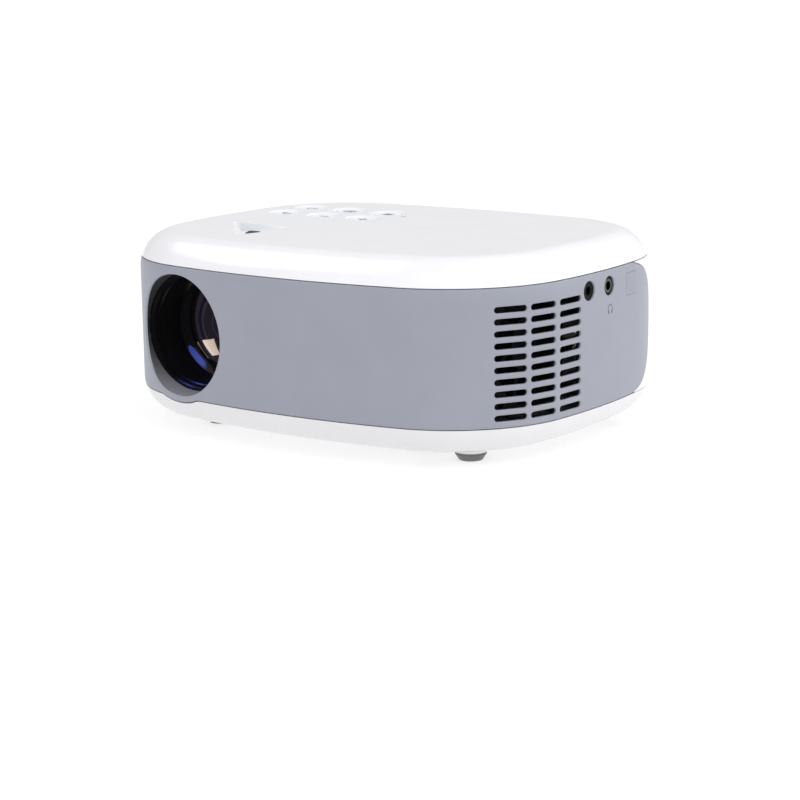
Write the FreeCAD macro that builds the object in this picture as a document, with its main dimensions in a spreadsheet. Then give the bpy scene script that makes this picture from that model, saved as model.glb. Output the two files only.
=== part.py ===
import FreeCAD, Part
import Sketcher
import math
import os
import re

# Home projector.  Millimetres, +Z up.  The lens looks along -Y and stands at the -X end of the
# front; the jacks and the outlet grille are on the +X side.  The origin is under the middle of the
# body, on the surface that the rubber feet stand on.

doc = FreeCAD.newDocument("home_projector")
sheet = doc.addObject("Spreadsheet::Sheet", "dims")

DIMENSIONS = {
    # body: five tangent arcs a side make the plan outline
    "body_width": 200.0, "body_depth": 159.7, "body_low": 5.0, "body_high": 79.6,
    "front_arc": 330.4, "side_arc": 268.3, "back_arc": 495.8, "corner_arc": 52.1,
    "high_round": 14.8, "low_round": 14.3, "wall": 2.2,
    "band_low": 16.05, "band_high": 69.2, "seam": 0.2, "lip_gap": 1.0, "lip_wall": 1.4,
    "lip_height": 2.4, "lip_root": 3.2, "band_end": 23.0,
    # lens
    "lens_x": -52.2, "lens_z": 41.3, "hood_bore": 24.6, "hood_wall": 2.7, "hood_end": -64.0,
    "tube_bore": 23.6, "tube_outer": 26.2, "tube_front": -63.8, "tube_back": -22.0,
    "barrel_outer": 23.5, "barrel_front": -60.6, "barrel_back": -24.0, "barrel_mouth": 22.8,
    "lens_radius": 20.3, "lens_rim": -41.0, "lens_edge": 3.0, "lens_curve": 45.0,
    "rear_lens_radius": 17.0, "rear_lens_rim": -29.5,
    # focus drive
    "wheel_x": -44.5, "wheel_y": -35.0, "wheel_z": 72.1, "wheel_radius": 7.0, "wheel_width": 3.6,
    "wheel_bore": 1.05, "shaft_radius": 1.0, "gear_module": 0.6, "gear_teeth": 10.0, "gear_width": 3.6,
    "dish_left": -69.8, "dish_left_y": -17.8, "dish_right": -31.7, "dish_right_y": -21.6,
    "dish_tip": -40.8, "dish_tip_y": -51.1, "dish_depth": 4.5, "dish_floor": 1.2,
    # keys
    "key_x": -48.3, "key_y": 27.2, "key_pitch_x": 20.5, "key_pitch_y": 18.6, "key_radius": 5.6,
    "key_gap": 0.25, "key_dimple": 8.2, "key_dimple_depth": 0.7, "key_drop": 0.4,
    "board_high": 71.2, "board_thick": 1.6, "light_x": -15.1, "light_radius": 0.9,
    # grilles
    "vent_rows": 10.0, "vent_pitch": 4.556, "vent_first": 19.9, "vent_height": 2.4,
    # side jacks
    "av_y": -10.3, "headphone_y": 4.7, "jack_z": 62.75, "jack_hole": 3.85, "jack_bore": 1.8,
    "window_y": 23.3, "window_z": 61.2, "window_side": 9.0,
    # feet, case screws and tripod insert
    "foot_left": -56.0, "foot_right": 68.0, "foot_front": -45.0, "foot_back": 45.0,
    "foot_boss": 8.2, "foot_top": 6.15, "foot_tip": 4.6, "foot_height": 3.2,
    "post_radius": 3.6, "screw_hole": 1.6, "pilot_hole": 1.3, "screw_radius": 1.25, "screw_head": 2.8,
    "post_split": 24.0, "head_ledge": 15.0, "insert_outer": 4.75, "insert_bore": 3.2,
    "insert_length": 9.0,
}
for row, (alias, number) in enumerate(DIMENSIONS.items(), start=1):
    sheet.set(f"A{row}", alias)
    sheet.set(f"B{row}", str(number))
    sheet.setAlias(f"B{row}", alias)
doc.recompute()

subparts = []


def expr(text):
    """An expression for the document, with each sheet name in the text pointed at its cell."""
    return re.sub(r"[a-z][a-z_]*", lambda word: "dims." + word[0] if word[0] in DIMENSIONS else word[0],
                  str(text))


def value(text):
    """The number that a text of sheet names and sums stands for."""
    return float(sheet.evalExpression(expr(text)))


def bind(item, **sizes):
    for name, text in sizes.items():
        item.setExpression(name, expr(text))
    return item


def turn_to(axis):
    direction = {"x": (1, 0, 0), "y": (0, 1, 0), "z": (0, 0, 1)}[axis]
    return FreeCAD.Rotation(FreeCAD.Vector(0, 0, 1), FreeCAD.Vector(*direction))


def place(item, x, y, z, axis="z"):
    """Puts an item's own origin at a point, with its own Z along the named axis."""
    item.Placement = FreeCAD.Placement(FreeCAD.Vector(), turn_to(axis))
    for name, text in zip("xyz", (x, y, z)):
        item.setExpression(f"Placement.Base.{name}", expr(text))
    return item


def box(name, x_span, y_span, z_span):
    item = doc.addObject("Part::Box", name)
    bind(item, Length=f"({x_span[1]}) - ({x_span[0]})", Width=f"({y_span[1]}) - ({y_span[0]})",
         Height=f"({z_span[1]}) - ({z_span[0]})")
    return place(item, x_span[0], y_span[0], z_span[0])


def cylinder(name, axis, point, radius, height):
    item = bind(doc.addObject("Part::Cylinder", name), Radius=radius, Height=height)
    return place(item, *point, axis)


def cone(name, axis, point, radius_start, radius_end, height):
    item = bind(doc.addObject("Part::Cone", name), Radius1=radius_start, Radius2=radius_end,
                Height=height)
    return place(item, *point, axis)


def sphere(name, point, radius):
    return place(bind(doc.addObject("Part::Sphere", name), Radius=radius), *point)


def fuse(name, *items):
    item = doc.addObject("Part::MultiFuse", name)
    item.Shapes = list(items)
    return item


def common(name, *items):
    item = doc.addObject("Part::MultiCommon", name)
    item.Shapes = list(items)
    return item


def cut(name, base, *tools):
    item = doc.addObject("Part::Cut", name)
    item.Base = base
    item.Tool = tools[0] if len(tools) == 1 else fuse(name + "_tools", *tools)
    return item


def group(name, items):
    item = doc.addObject("Part::Compound", name)
    item.Links = list(items)
    return item


def subpart(node, item):
    """Names an item as one finished piece of the projector."""
    item.Label = node
    subparts.append(item)
    return item


def add_sketch(body, role, offset="0"):
    sketch = body.newObject("Sketcher::SketchObject", body.Name + "_sketch")
    plane = next(feature for feature in body.Origin.OriginFeatures if feature.Role == role)
    sketch.AttachmentSupport = [(plane, "")]
    sketch.MapMode = "FlatFace"
    sketch.setExpression("AttachmentOffset.Base.z", expr(offset))
    return sketch


def constrain(sketch, size, *constraint):
    """Adds a dimension to a sketch and binds it to the sheet."""
    index = sketch.addConstraint(Sketcher.Constraint(*constraint, value(size)))
    sketch.setExpression(f"Constraints[{index}]", expr(size))


def draw_polygon(sketch, points):
    """Straight sides through points whose coordinates are texts of sheet names."""
    corners = [FreeCAD.Vector(value(x), value(y), 0) for x, y in points]
    first = sketch.GeometryCount
    count = len(points)
    for i in range(count):
        sketch.addGeometry(Part.LineSegment(corners[i], corners[(i + 1) % count]), False)
    for i in range(count):
        sketch.addConstraint(Sketcher.Constraint("Coincident", first + i, 2, first + (i + 1) % count, 1))
        for kind, line, text in (("DistanceX", -2, points[i][0]), ("DistanceY", -1, points[i][1])):
            if value(text):
                constrain(sketch, text, kind, -1, 1, first + i, 1)
            else:
                sketch.addConstraint(Sketcher.Constraint("PointOnObject", first + i, 1, line))


def draw_circle(sketch, x, y, radius):
    circle = Part.Circle(FreeCAD.Vector(value(x), value(y), 0), FreeCAD.Vector(0, 0, 1), value(radius))
    index = sketch.addGeometry(circle, False)
    constrain(sketch, radius, "Radius", index)
    for kind, line, text in (("DistanceX", -2, x), ("DistanceY", -1, y)):
        if value(text):
            constrain(sketch, text, kind, -1, 1, index, 3)
        else:
            sketch.addConstraint(Sketcher.Constraint("PointOnObject", index, 3, line))


def pad(body, sketch, length):
    feature = body.newObject("PartDesign::Pad", body.Name + "_pad")
    feature.Profile = sketch
    bind(feature, Length=length)
    return feature


def prism(name, plane, points, length, offset="0"):
    """A polygon in one of the origin planes, extruded along that plane's normal."""
    body = doc.addObject("PartDesign::Body", name)
    sketch = add_sketch(body, plane, offset)
    draw_polygon(sketch, points)
    return body, pad(body, sketch, length)


def turned(name, point, axis, profile):
    """A closed profile of (radius, distance along the axis) turned about the axis."""
    body = doc.addObject("PartDesign::Body", name)
    sketch = add_sketch(body, "XZ_Plane")
    draw_polygon(sketch, profile)
    feature = body.newObject("PartDesign::Revolution", name + "_turn")
    feature.Profile = sketch
    feature.ReferenceAxis = (sketch, ["V_Axis"])
    feature.Angle = 360.0
    return place(body, *point, axis)


def round_level_edges(body, base, height, radius):
    """Fillets every edge of a pad that lies in the plane z = height."""
    doc.recompute()
    names = [f"Edge{i}" for i, edge in enumerate(base.Shape.Edges, start=1)
             if abs(edge.BoundBox.ZMin - height) < 1e-4 and abs(edge.BoundBox.ZMax - height) < 1e-4]
    feature = body.newObject("PartDesign::Fillet", body.Name + "_round")
    feature.Base = (base, names)
    return bind(feature, Radius=radius)


# ---------------------------------------------------------------- plan outline and hull
def corner_centre(sign, centre_y, end_radius):
    """Centre of the corner arc that is tangent inside an end arc and the +X side arc."""
    corner = value("corner_arc")
    side_x = value("body_width / 2 - side_arc")
    reach_end = end_radius - corner
    reach_side = value("side_arc") - corner
    gap = math.hypot(side_x, centre_y)
    along = (reach_end ** 2 - reach_side ** 2 + gap ** 2) / (2 * gap)
    across = math.sqrt(reach_end ** 2 - along ** 2)
    unit = FreeCAD.Vector(side_x, -centre_y, 0) / gap
    middle = FreeCAD.Vector(0, centre_y, 0) + unit * along
    normal = FreeCAD.Vector(-unit.y, unit.x, 0) * across
    return max(middle + normal, middle - normal, key=lambda point: point.x + sign * point.y)


def draw_outline(sketch, inset):
    """The plan outline, drawn in by an inset: front, side, back and corner arcs, all tangent."""
    front_y = "front_arc - body_depth / 2"
    back_y = "body_depth / 2 - back_arc"
    side_x = "body_width / 2 - side_arc"
    front = FreeCAD.Vector(0, value(front_y), 0)
    back = FreeCAD.Vector(0, value(back_y), 0)
    sides = [FreeCAD.Vector(sign * value(side_x), 0, 0) for sign in (1, -1)]
    near = corner_centre(-1, front.y, value("front_arc"))
    far = corner_centre(1, back.y, value("back_arc"))

    def mirrored(point):
        return FreeCAD.Vector(-point.x, point.y, 0)

    # centre and size text of each arc, counter-clockwise from the front
    arcs = [(front, "front_arc"), (near, "corner_arc"), (sides[0], "side_arc"), (far, "corner_arc"),
            (back, "back_arc"), (mirrored(far), "corner_arc"), (sides[1], "side_arc"),
            (mirrored(near), "corner_arc")]
    count = len(arcs)

    def joint(i):
        """Point where arc i meets the next one, on the line through their centres."""
        centre, size = arcs[i]
        other, other_size = arcs[(i + 1) % count]
        larger = value(size) > value(other_size)
        start, end, radius = (centre, other, size) if larger else (other, centre, other_size)
        return start + (end - start).normalize() * value(f"{radius} - ({inset})")

    for i, (centre, size) in enumerate(arcs):
        begin, finish = joint(i - 1), joint(i)
        angles = [math.atan2(point.y - centre.y, point.x - centre.x) for point in (begin, finish)]
        circle = Part.Circle(centre, FreeCAD.Vector(0, 0, 1), value(f"{size} - ({inset})"))
        sketch.addGeometry(Part.ArcOfCircle(circle, *angles), False)
    for i in range(count):
        sketch.addConstraint(Sketcher.Constraint("Tangent", i, 2, (i + 1) % count, 1))
    for i, (centre, size) in enumerate(arcs):
        constrain(sketch, f"{size} - ({inset})", "Radius", i)
    for i, text in ((0, front_y), (4, back_y)):
        sketch.addConstraint(Sketcher.Constraint("PointOnObject", i, 3, -2))
        constrain(sketch, text, "DistanceY", -1, 1, i, 3)
    for i, text in ((2, side_x), (6, f"-({side_x})")):
        sketch.addConstraint(Sketcher.Constraint("PointOnObject", i, 3, -1))
        constrain(sketch, text, "DistanceX", -1, 1, i, 3)


def outline_block(name, inset, low, high, low_round=None, high_round=None):
    """The plan outline extruded from low to high, with its level edges rounded if asked."""
    body = doc.addObject("PartDesign::Body", name)
    sketch = add_sketch(body, "XY_Plane", low)
    draw_outline(sketch, inset)
    feature = pad(body, sketch, f"({high}) - ({low})")
    if high_round:
        feature = round_level_edges(body, feature, value(high), high_round)
    if low_round:
        round_level_edges(body, feature, value(low), low_round)
    return body


hull_outer = outline_block("hull_outer", "0", "body_low", "body_high", "low_round", "high_round")
hull_inner = outline_block("hull_inner", "wall", "body_low + wall", "body_high - wall",
                           "low_round - wall", "high_round - wall")
hull_skin = cut("hull_skin", hull_outer, hull_inner)


def outline_ring(name, inset_outer, inset_inner, low, high):
    """A thin wall that follows the plan outline, kept inside the hull."""
    ring = cut(name + "_wall", outline_block(name + "_outside", inset_outer, low, high),
               outline_block(name + "_inside", inset_inner, low, high))
    return common(name, ring, hull_outer)


def draw_slot(sketch, low, high, level, height):
    """A round-ended slot from low to high along the sketch's first axis."""
    half = value(height) / 2
    left, right, middle = value(low) + half, value(high) - half, value(level)
    up = FreeCAD.Vector(0, 0, 1)
    sketch.addGeometry([
        Part.LineSegment(FreeCAD.Vector(left, middle - half, 0), FreeCAD.Vector(right, middle - half, 0)),
        Part.ArcOfCircle(Part.Circle(FreeCAD.Vector(right, middle, 0), up, half), -math.pi / 2, math.pi / 2),
        Part.LineSegment(FreeCAD.Vector(right, middle + half, 0), FreeCAD.Vector(left, middle + half, 0)),
        Part.ArcOfCircle(Part.Circle(FreeCAD.Vector(left, middle, 0), up, half), math.pi / 2,
                         3 * math.pi / 2)], False)
    for i in range(4):
        sketch.addConstraint(Sketcher.Constraint("Tangent", i, 2, (i + 1) % 4, 1))
    sketch.addConstraint(Sketcher.Constraint("Horizontal", 0))
    constrain(sketch, f"({height}) / 2", "Radius", 1)
    constrain(sketch, f"({high}) - ({height}) / 2", "DistanceX", -1, 1, 1, 3)
    constrain(sketch, level, "DistanceY", -1, 1, 1, 3)
    constrain(sketch, f"({low}) + ({height}) / 2", "DistanceX", -1, 1, 3, 3)


def grille(name, plane, start, depth, columns, first="vent_first", rows="vent_rows", backwards=False):
    """Columns of round-ended slots: each one slot padded from start, then repeated upwards."""
    bodies = []
    for number, (low, high) in enumerate(columns, start=1):
        body = doc.addObject("PartDesign::Body", f"{name}_column_{number}")
        sketch = add_sketch(body, plane, start)
        draw_slot(sketch, low, high, first, "vent_height")
        slot = pad(body, sketch, depth)
        slot.Reversed = backwards
        rows_up = body.newObject("PartDesign::LinearPattern", body.Name + "_rows")
        rows_up.Originals = [slot]
        rows_up.Direction = (sketch, ["V_Axis"])
        bind(rows_up, Length=f"({rows} - 1) * vent_pitch")
        rows_up.Occurrences = round(value(rows))
        body.Tip = rows_up
        bodies.append(body)
    return bodies


def lens_cylinder(name, low_y, high_y, radius):
    """A cylinder on the lens axis between two places along Y."""
    return cylinder(name, "y", ("lens_x", low_y, "lens_z"), radius, f"({high_y}) - ({low_y})")


def lens_turned(name, profile):
    """A (radius, y) profile turned about the lens axis."""
    return turned(name, ("lens_x", "0", "lens_z"), "y", profile)


def engine_box(name, half_width, y_span, low, high):
    """A box centred across the lens axis, with its heights measured from the axis."""
    return box(name, (f"lens_x - ({half_width})", f"lens_x + {half_width}"), y_span,
               (f"lens_z - ({low})", f"lens_z + {high}"))


# ---------------------------------------------------------------- places shared by the shells
POSTS = (("front_left", "-84", "-37"), ("front_right", "60", "-61"),
         ("rear_left", "-84", "37"), ("rear_right", "84", "37"))
FEET = [(f"{end}_{side}", f"foot_{side}", f"foot_{end}")
        for end in ("front", "back") for side in ("left", "right")]
KEYS = [(name, f"key_x + ({column}) * key_pitch_x", f"key_y + ({rank}) * key_pitch_y")
        for name, column, rank in (("power", -1, 0.5), ("source", 0, 0.5), ("menu", 1, 0.5),
                                   ("back", -1, -0.5), ("minus", 0, -0.5), ("plus", 1, -0.5))]
SIDE_COLUMNS = (("-57.1", "-45.6"), ("-44.0", "-31.8"), ("-29.5", "-16.0"))
INTAKE_COLUMNS = (("-16", "-3.5"), ("-1.5", "11"), ("13", "25.5"))
HEAT_COLUMNS = (("-75", "-61.5"), ("-59", "-45.5"), ("-43", "-29.5"))
SPEAKER_COLUMNS = (("27", "42"), ("45", "60"))


def upright_at(places, name, radius, low, high):
    """One upright cylinder at each (label, x, y) place."""
    return [cylinder(f"{name}_{label}", "z", (x, y, low), radius, f"({high}) - ({low})")
            for label, x, y in places]


hood_clearance = lens_cylinder("hood_clearance", "-body_depth", "hood_end + 2",
                               "hood_bore + hood_wall + seam")

# ---------------------------------------------------------------- upper shell
upper_skin = common("upper_skin", hull_skin,
                    box("upper_zone", ("-body_width", "body_width"), ("-body_depth", "body_depth"),
                        ("band_high + seam / 2", "body_high + 5")))
upper_lip = outline_ring("upper_lip", "wall + lip_gap", "wall + lip_gap + lip_wall",
                         "band_high - lip_height", "band_high + lip_root")
def ramp(name, left, right, drop, top):
    """A block whose underside climbs from the dish's full depth at the left to nothing at the right."""
    body, block = prism(name, "XZ_Plane", [(left, f"body_high - dish_depth - ({drop})"),
                                           (right, f"body_high - ({drop})"), (right, top), (left, top)],
                        "body_depth")
    block.Midplane = True
    return body


dish_pad = common("dish_pad",
                  ramp("dish_pad_ramp", "dish_left - 1.5", "dish_right + 1.5", "dish_floor",
                       "body_high - wall / 2"),
                  box("dish_pad_zone", ("dish_left - 1.5", "dish_right + 1.5"),
                      ("dish_tip_y - 1.5", "dish_left_y + 1.5"), ("body_high - 10", "body_high")))
key_pad = box("key_pad", ("key_x - key_pitch_x - 9.5", "key_x + key_pitch_x + 9.5"),
              ("key_y - key_pitch_y / 2 - 9.5", "key_y + key_pitch_y / 2 + 9.5"),
              ("body_high - wall - 0.8", "body_high - wall / 2"))
dish_plan, _ = prism("dish_plan", "XY_Plane", [("dish_left", "dish_left_y"), ("dish_tip", "dish_tip_y"),
                                               ("dish_right", "dish_right_y")], "15", "body_high - 10")
dish_hollow = common("dish_hollow", ramp("dish_ramp", "dish_left", "dish_right", "0", "body_high + 5"),
                     dish_plan)
wheel_slot = cylinder("wheel_slot", "x", ("wheel_x - wheel_width / 2 - 0.4", "wheel_y", "wheel_z"),
                      "wheel_radius + 0.35", "wheel_width + 0.8")
light_hole = cylinder("light_hole", "z", ("light_x", "key_y + 2.8", "body_high - 10"),
                      "light_radius + 0.05", "20")
upper_shell = cut(
    "upper_shell_cut",
    fuse("upper_solid", upper_skin, upper_lip, dish_pad, key_pad,
         *upright_at(POSTS, "upper_post", "post_radius", "post_split + 0.2", "body_high - wall / 2")),
    hood_clearance, dish_hollow, wheel_slot, light_hole,
    *upright_at(KEYS, "key_hole", "key_radius + key_gap", "body_high - 8", "body_high + 1"),
    *upright_at(KEYS, "key_dimple", "key_dimple", "body_high - key_dimple_depth", "body_high + 1"),
    *upright_at(POSTS, "pilot", "pilot_hole", "post_split - 1", "post_split + 12"))
subpart("upper_shell", upper_shell)

# ---------------------------------------------------------------- lower shell
lower_skin = common("lower_skin", hull_skin,
                    box("lower_zone", ("-body_width", "body_width"), ("-body_depth", "body_depth"),
                        ("0", "band_low - seam / 2")))
lower_lip = outline_ring("lower_lip", "wall + lip_gap", "wall + lip_gap + lip_wall",
                         "band_low - lip_root - 1", "band_low + lip_height")
foot_bosses = [cone(f"foot_boss_{label}", "z", (x, y, "foot_height"), "foot_top + 0.2", "foot_boss",
                    "body_low + 0.4 - foot_height") for label, x, y in FEET]
insert_boss = cylinder("insert_boss", "z", ("0", "0", "body_low"), "insert_outer + 2.8",
                       "insert_length + 1")
STANDOFFS = (("a", "6", "12"), ("b", "71", "12"), ("c", "6", "60"), ("d", "71", "60"))
floor_slots = []
for number in range(7):
    slot_x = f"14 + {number} * 6"
    floor_slots.append(box(f"floor_slot_{number}", (slot_x, f"{slot_x} + 3"), ("-46", "-14"),
                           ("0", "body_low + 5")))
lower_shell = cut(
    "lower_shell_cut",
    fuse("lower_solid", lower_skin, lower_lip, insert_boss, *foot_bosses,
         *upright_at(POSTS, "lower_post", "post_radius + 0.9", "body_low + wall / 2", "post_split"),
         *upright_at(STANDOFFS, "standoff", "3", "body_low + wall / 2", "20")),
    hood_clearance, *floor_slots,
    cylinder("insert_hole", "z", ("0", "0", "0"), "insert_outer", "body_low + insert_length"),
    *upright_at(FEET, "spigot_hole", "1.85", "foot_height - 1", "5.6"),
    *upright_at(POSTS, "head_hole", "screw_head + 0.4", "0", "head_ledge"),
    *upright_at(POSTS, "screw_way", "screw_hole", "0", "post_split + 1"),
    *upright_at(STANDOFFS, "board_pilot", "0.9", "10", "21"))
subpart("lower_shell", lower_shell)

# ---------------------------------------------------------------- wrap band and rear cover
BAND_SPAN = ("band_low + seam / 2", "band_high - seam / 2")
BAND_MIDDLE = "(band_low + band_high) / 2"
BAND_HALF = "(band_high - band_low) / 2"
band_zone = fuse("band_zone",
                 box("band_front_zone", ("-body_width", "body_width"), ("-body_depth", "band_end"),
                     BAND_SPAN),
                 cylinder("band_end_zone", "x", ("-body_width", "band_end", BAND_MIDDLE),
                          f"{BAND_HALF} - seam / 2", "2 * body_width"))
cover_zone = cut("cover_zone",
                 box("cover_rear_zone", ("-body_width", "body_width"), ("band_end + seam", "body_depth"),
                     BAND_SPAN),
                 cylinder("cover_end_zone", "x", ("-body_width", "band_end", BAND_MIDDLE),
                          f"{BAND_HALF} + seam / 2", "2 * body_width"))
WALL_SPAN = ("body_low", "body_high")
outline_wall = outline_block("outline_wall", "0", *WALL_SPAN)
inside_wall = outline_block("inside_wall", "wall", *WALL_SPAN)


def hood_disc(name):
    return lens_cylinder(name, "-body_depth", "hood_end", "hood_bore + hood_wall")


band_skin = common("band_skin", hull_skin, band_zone)
hood_lip = common("hood_lip", cut("band_wall", outline_wall, inside_wall), hood_disc("hood_front"))
subpart("lens_hood", cut("lens_hood_cut", common("lens_hood_solid", inside_wall, hood_disc("hood_rear")),
                         lens_cylinder("hood_way", "-body_depth", "hood_end + 5", "hood_bore"), band_skin))
jack_holes = [cylinder(f"jack_hole_{label}", "x", ("body_width / 2 - 12", y, "jack_z"), "jack_hole", "20")
              for label, y in (("av", "av_y"), ("headphone", "headphone_y"))]
window_hole = box("window_hole", ("body_width / 2 - 12", "body_width / 2 + 8"),
                  ("window_y - window_side / 2", "window_y + window_side / 2"),
                  ("window_z - window_side / 2", "window_z + window_side / 2"))
wrap_band = cut(
    "wrap_band_cut",
    fuse("band_solid", band_skin, hood_lip),
    lens_cylinder("hood_hole", "-body_depth", "hood_end + 5", "hood_bore"),
    lens_cylinder("tube_clearance", "hood_end", "hood_end + 15", "tube_outer + 0.3"),
    *grille("outlet", "YZ_Plane", "70", "40", SIDE_COLUMNS),
    *grille("intake", "YZ_Plane", "-70", "40", INTAKE_COLUMNS, backwards=True),
    *jack_holes, window_hole)
subpart("wrap_band", wrap_band)

PORT_Z = "21.6"
REAR_PORTS = (("hdmi", "20", "7.8", "2.9"), ("usb_a", "42", "6.9", "3.3"), ("usb_b", "60", "6.9", "3.3"))
rear_port_holes = [box(f"{label}_hole", (f"{x} - {half} - 0.3", f"{x} + {half} + 0.3"), ("66", "90"),
                       (f"{PORT_Z} - 0.3", f"{PORT_Z} + 2 * {half_height} + 0.3"))
                   for label, x, half, half_height in REAR_PORTS]
INLET_X, INLET_Z = "-6", "33"
inlet_hole = box("inlet_hole", (f"{INLET_X} - 10.3", f"{INLET_X} + 10.3"), ("66", "90"),
                 (f"{INLET_Z} - 6.3", f"{INLET_Z} + 6.3"))
subpart("rear_cover", cut(
    "rear_cover_cut", common("cover_skin", hull_skin, cover_zone),
    *grille("heat_vent", "XZ_Plane", "-55", "40", HEAT_COLUMNS, backwards=True),
    *grille("speaker_vent", "XZ_Plane", "-55", "40", SPEAKER_COLUMNS, "vent_first + 4 * vent_pitch",
            "vent_rows - 4", backwards=True),
    *rear_port_holes, inlet_hole))

# ---------------------------------------------------------------- lens: fixed tube and moving barrel
PINION_X = "lens_x - gear_width / 2"
EAR_SPANS = (("-58.2", "-56.4"), ("-41.9", "-40.1"))
ears = [box(f"shaft_ear_{number}", span, ("wheel_y - 3", "wheel_y + 3"), ("lens_z + 20", "wheel_z + 2"))
        for number, span in enumerate(EAR_SPANS)]
subpart("lens_tube", cut(
    "lens_tube_cut",
    fuse("lens_tube_solid", lens_cylinder("tube_outside", "tube_front", "tube_back", "tube_outer"), *ears),
    lens_cylinder("tube_inside", "tube_front - 1", "tube_back + 1", "tube_bore"),
    box("drive_slot", ("-56.2", "-42.1"), ("-48", "tube_back + 1"), ("lens_z + 15", "wheel_z")),
    cylinder("shaft_seat", "x", ("-60", "wheel_y", "wheel_z"), "shaft_radius + 0.01", "30")))
subpart("focus_shaft", cylinder("shaft", "x", ("-59", "wheel_y", "wheel_z"), "shaft_radius", "19.8"))

CONE_RUN = value("lens_rim - barrel_front")
CONE_SLOPE = (value("barrel_mouth") - value("lens_radius + 0.1")) / CONE_RUN
RIB_COUNT = 9
RIB_PITCH = 1.25
RIB_DEPTH = 0.4
RIB_FACE = 0.15


def baffle_ribs():
    """Fine saw-tooth ribs that stop stray light in the mouth of the barrel."""
    points = []
    for number in range(RIB_COUNT):
        run = 1.0 + number * RIB_PITCH
        crest = f"barrel_mouth - {CONE_SLOPE * run:.4f}"
        points.append((crest, f"barrel_front + {run}"))
        points.append((f"{crest} + {RIB_DEPTH}", f"barrel_front + {run + RIB_FACE}"))
    end = 1.0 + RIB_COUNT * RIB_PITCH
    return points + [(f"barrel_mouth - {CONE_SLOPE * end:.4f}", f"barrel_front + {end}")]


barrel_turn = lens_turned("barrel_turn", [
    ("barrel_outer", "barrel_front"), ("barrel_mouth", "barrel_front"), *baffle_ribs(),
    ("lens_radius + 0.1", "lens_rim"), ("lens_radius + 0.1", "lens_rim + lens_edge"),
    ("rear_lens_radius - 1.5", "lens_rim + lens_edge"), ("rear_lens_radius - 1.5", "rear_lens_rim"),
    ("rear_lens_radius + 0.1", "rear_lens_rim"), ("rear_lens_radius + 0.1", "barrel_back - 2"),
    ("barrel_outer", "barrel_back - 2")])

PITCH_RADIUS = value("gear_module * gear_teeth / 2")
MODULE = value("gear_module")
RACK_PITCH = math.pi * MODULE
BACKLASH = 0.14
PITCH_LINE = f"wheel_z - {PITCH_RADIUS}"
RACK_TEETH = 8
RACK_TIP = 0.8 * MODULE
RACK_ROOT = 1.25 * MODULE
FLANK = math.tan(math.radians(20))
rack_rail = box("rack_rail", ("lens_x - 1.9", "lens_x + 1.9"), ("-45", "barrel_back - 2"),
                ("lens_z + barrel_outer - 0.8", f"{PITCH_LINE} - {RACK_ROOT}"))
tooth_half = (RACK_PITCH / 2 - BACKLASH) / 2
rack_tooth = doc.addObject("PartDesign::Body", "rack_tooth")
rack_sketch = add_sketch(rack_tooth, "YZ_Plane", "lens_x - 1.9")
first_tooth = f"wheel_y - {RACK_PITCH * (RACK_TEETH - 1) / 2:.4f}"
draw_polygon(rack_sketch, [
    (f"{first_tooth} - {tooth_half + RACK_ROOT * FLANK:.4f}", f"{PITCH_LINE} - {RACK_ROOT}"),
    (f"{first_tooth} + {tooth_half + RACK_ROOT * FLANK:.4f}", f"{PITCH_LINE} - {RACK_ROOT}"),
    (f"{first_tooth} + {tooth_half - RACK_TIP * FLANK:.4f}", f"{PITCH_LINE} + {RACK_TIP}"),
    (f"{first_tooth} - {tooth_half - RACK_TIP * FLANK:.4f}", f"{PITCH_LINE} + {RACK_TIP}")])
one_tooth = pad(rack_tooth, rack_sketch, "3.8")
rack_row = rack_tooth.newObject("PartDesign::LinearPattern", "rack_row")
rack_row.Originals = [one_tooth]
rack_row.Direction = (rack_sketch, ["H_Axis"])
rack_row.Length = RACK_PITCH * (RACK_TEETH - 1)
rack_row.Occurrences = RACK_TEETH
rack_tooth.Tip = rack_row
subpart("lens_barrel", fuse("lens_barrel_solid", barrel_turn, rack_rail, rack_tooth))


def domed_lens(name, rim_y, flat_y, radius, curve, towards):
    """A flat-backed lens: a cylinder with one domed face that starts at rim_y."""
    centre = f"{rim_y} {'+' if towards < 0 else '-'} sqrt({curve} ^ 2 - ({radius}) ^ 2)"
    low, high = (f"{rim_y} - 12", flat_y) if towards < 0 else (flat_y, f"{rim_y} + 12")
    return common(name, lens_cylinder(name + "_edge", low, high, radius),
                  sphere(name + "_dome", ("lens_x", centre, "lens_z"), curve))


subpart("front_lens", domed_lens("front_lens_solid", "lens_rim", "lens_rim + lens_edge", "lens_radius",
                                 "lens_curve", -1))
subpart("rear_lens", domed_lens("rear_lens_solid", "rear_lens_rim + 2", "rear_lens_rim",
                                "rear_lens_radius", "40", 1))
subpart("lens_ring", cut("lens_ring_cut",
                         lens_cylinder("lens_ring_outside", "lens_rim - 1.5", "lens_rim - 0.5",
                                       "lens_radius + 0.1"),
                         lens_cylinder("lens_ring_inside", "lens_rim - 3", "lens_rim + 1",
                                       "lens_radius - 0.8")))

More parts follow.
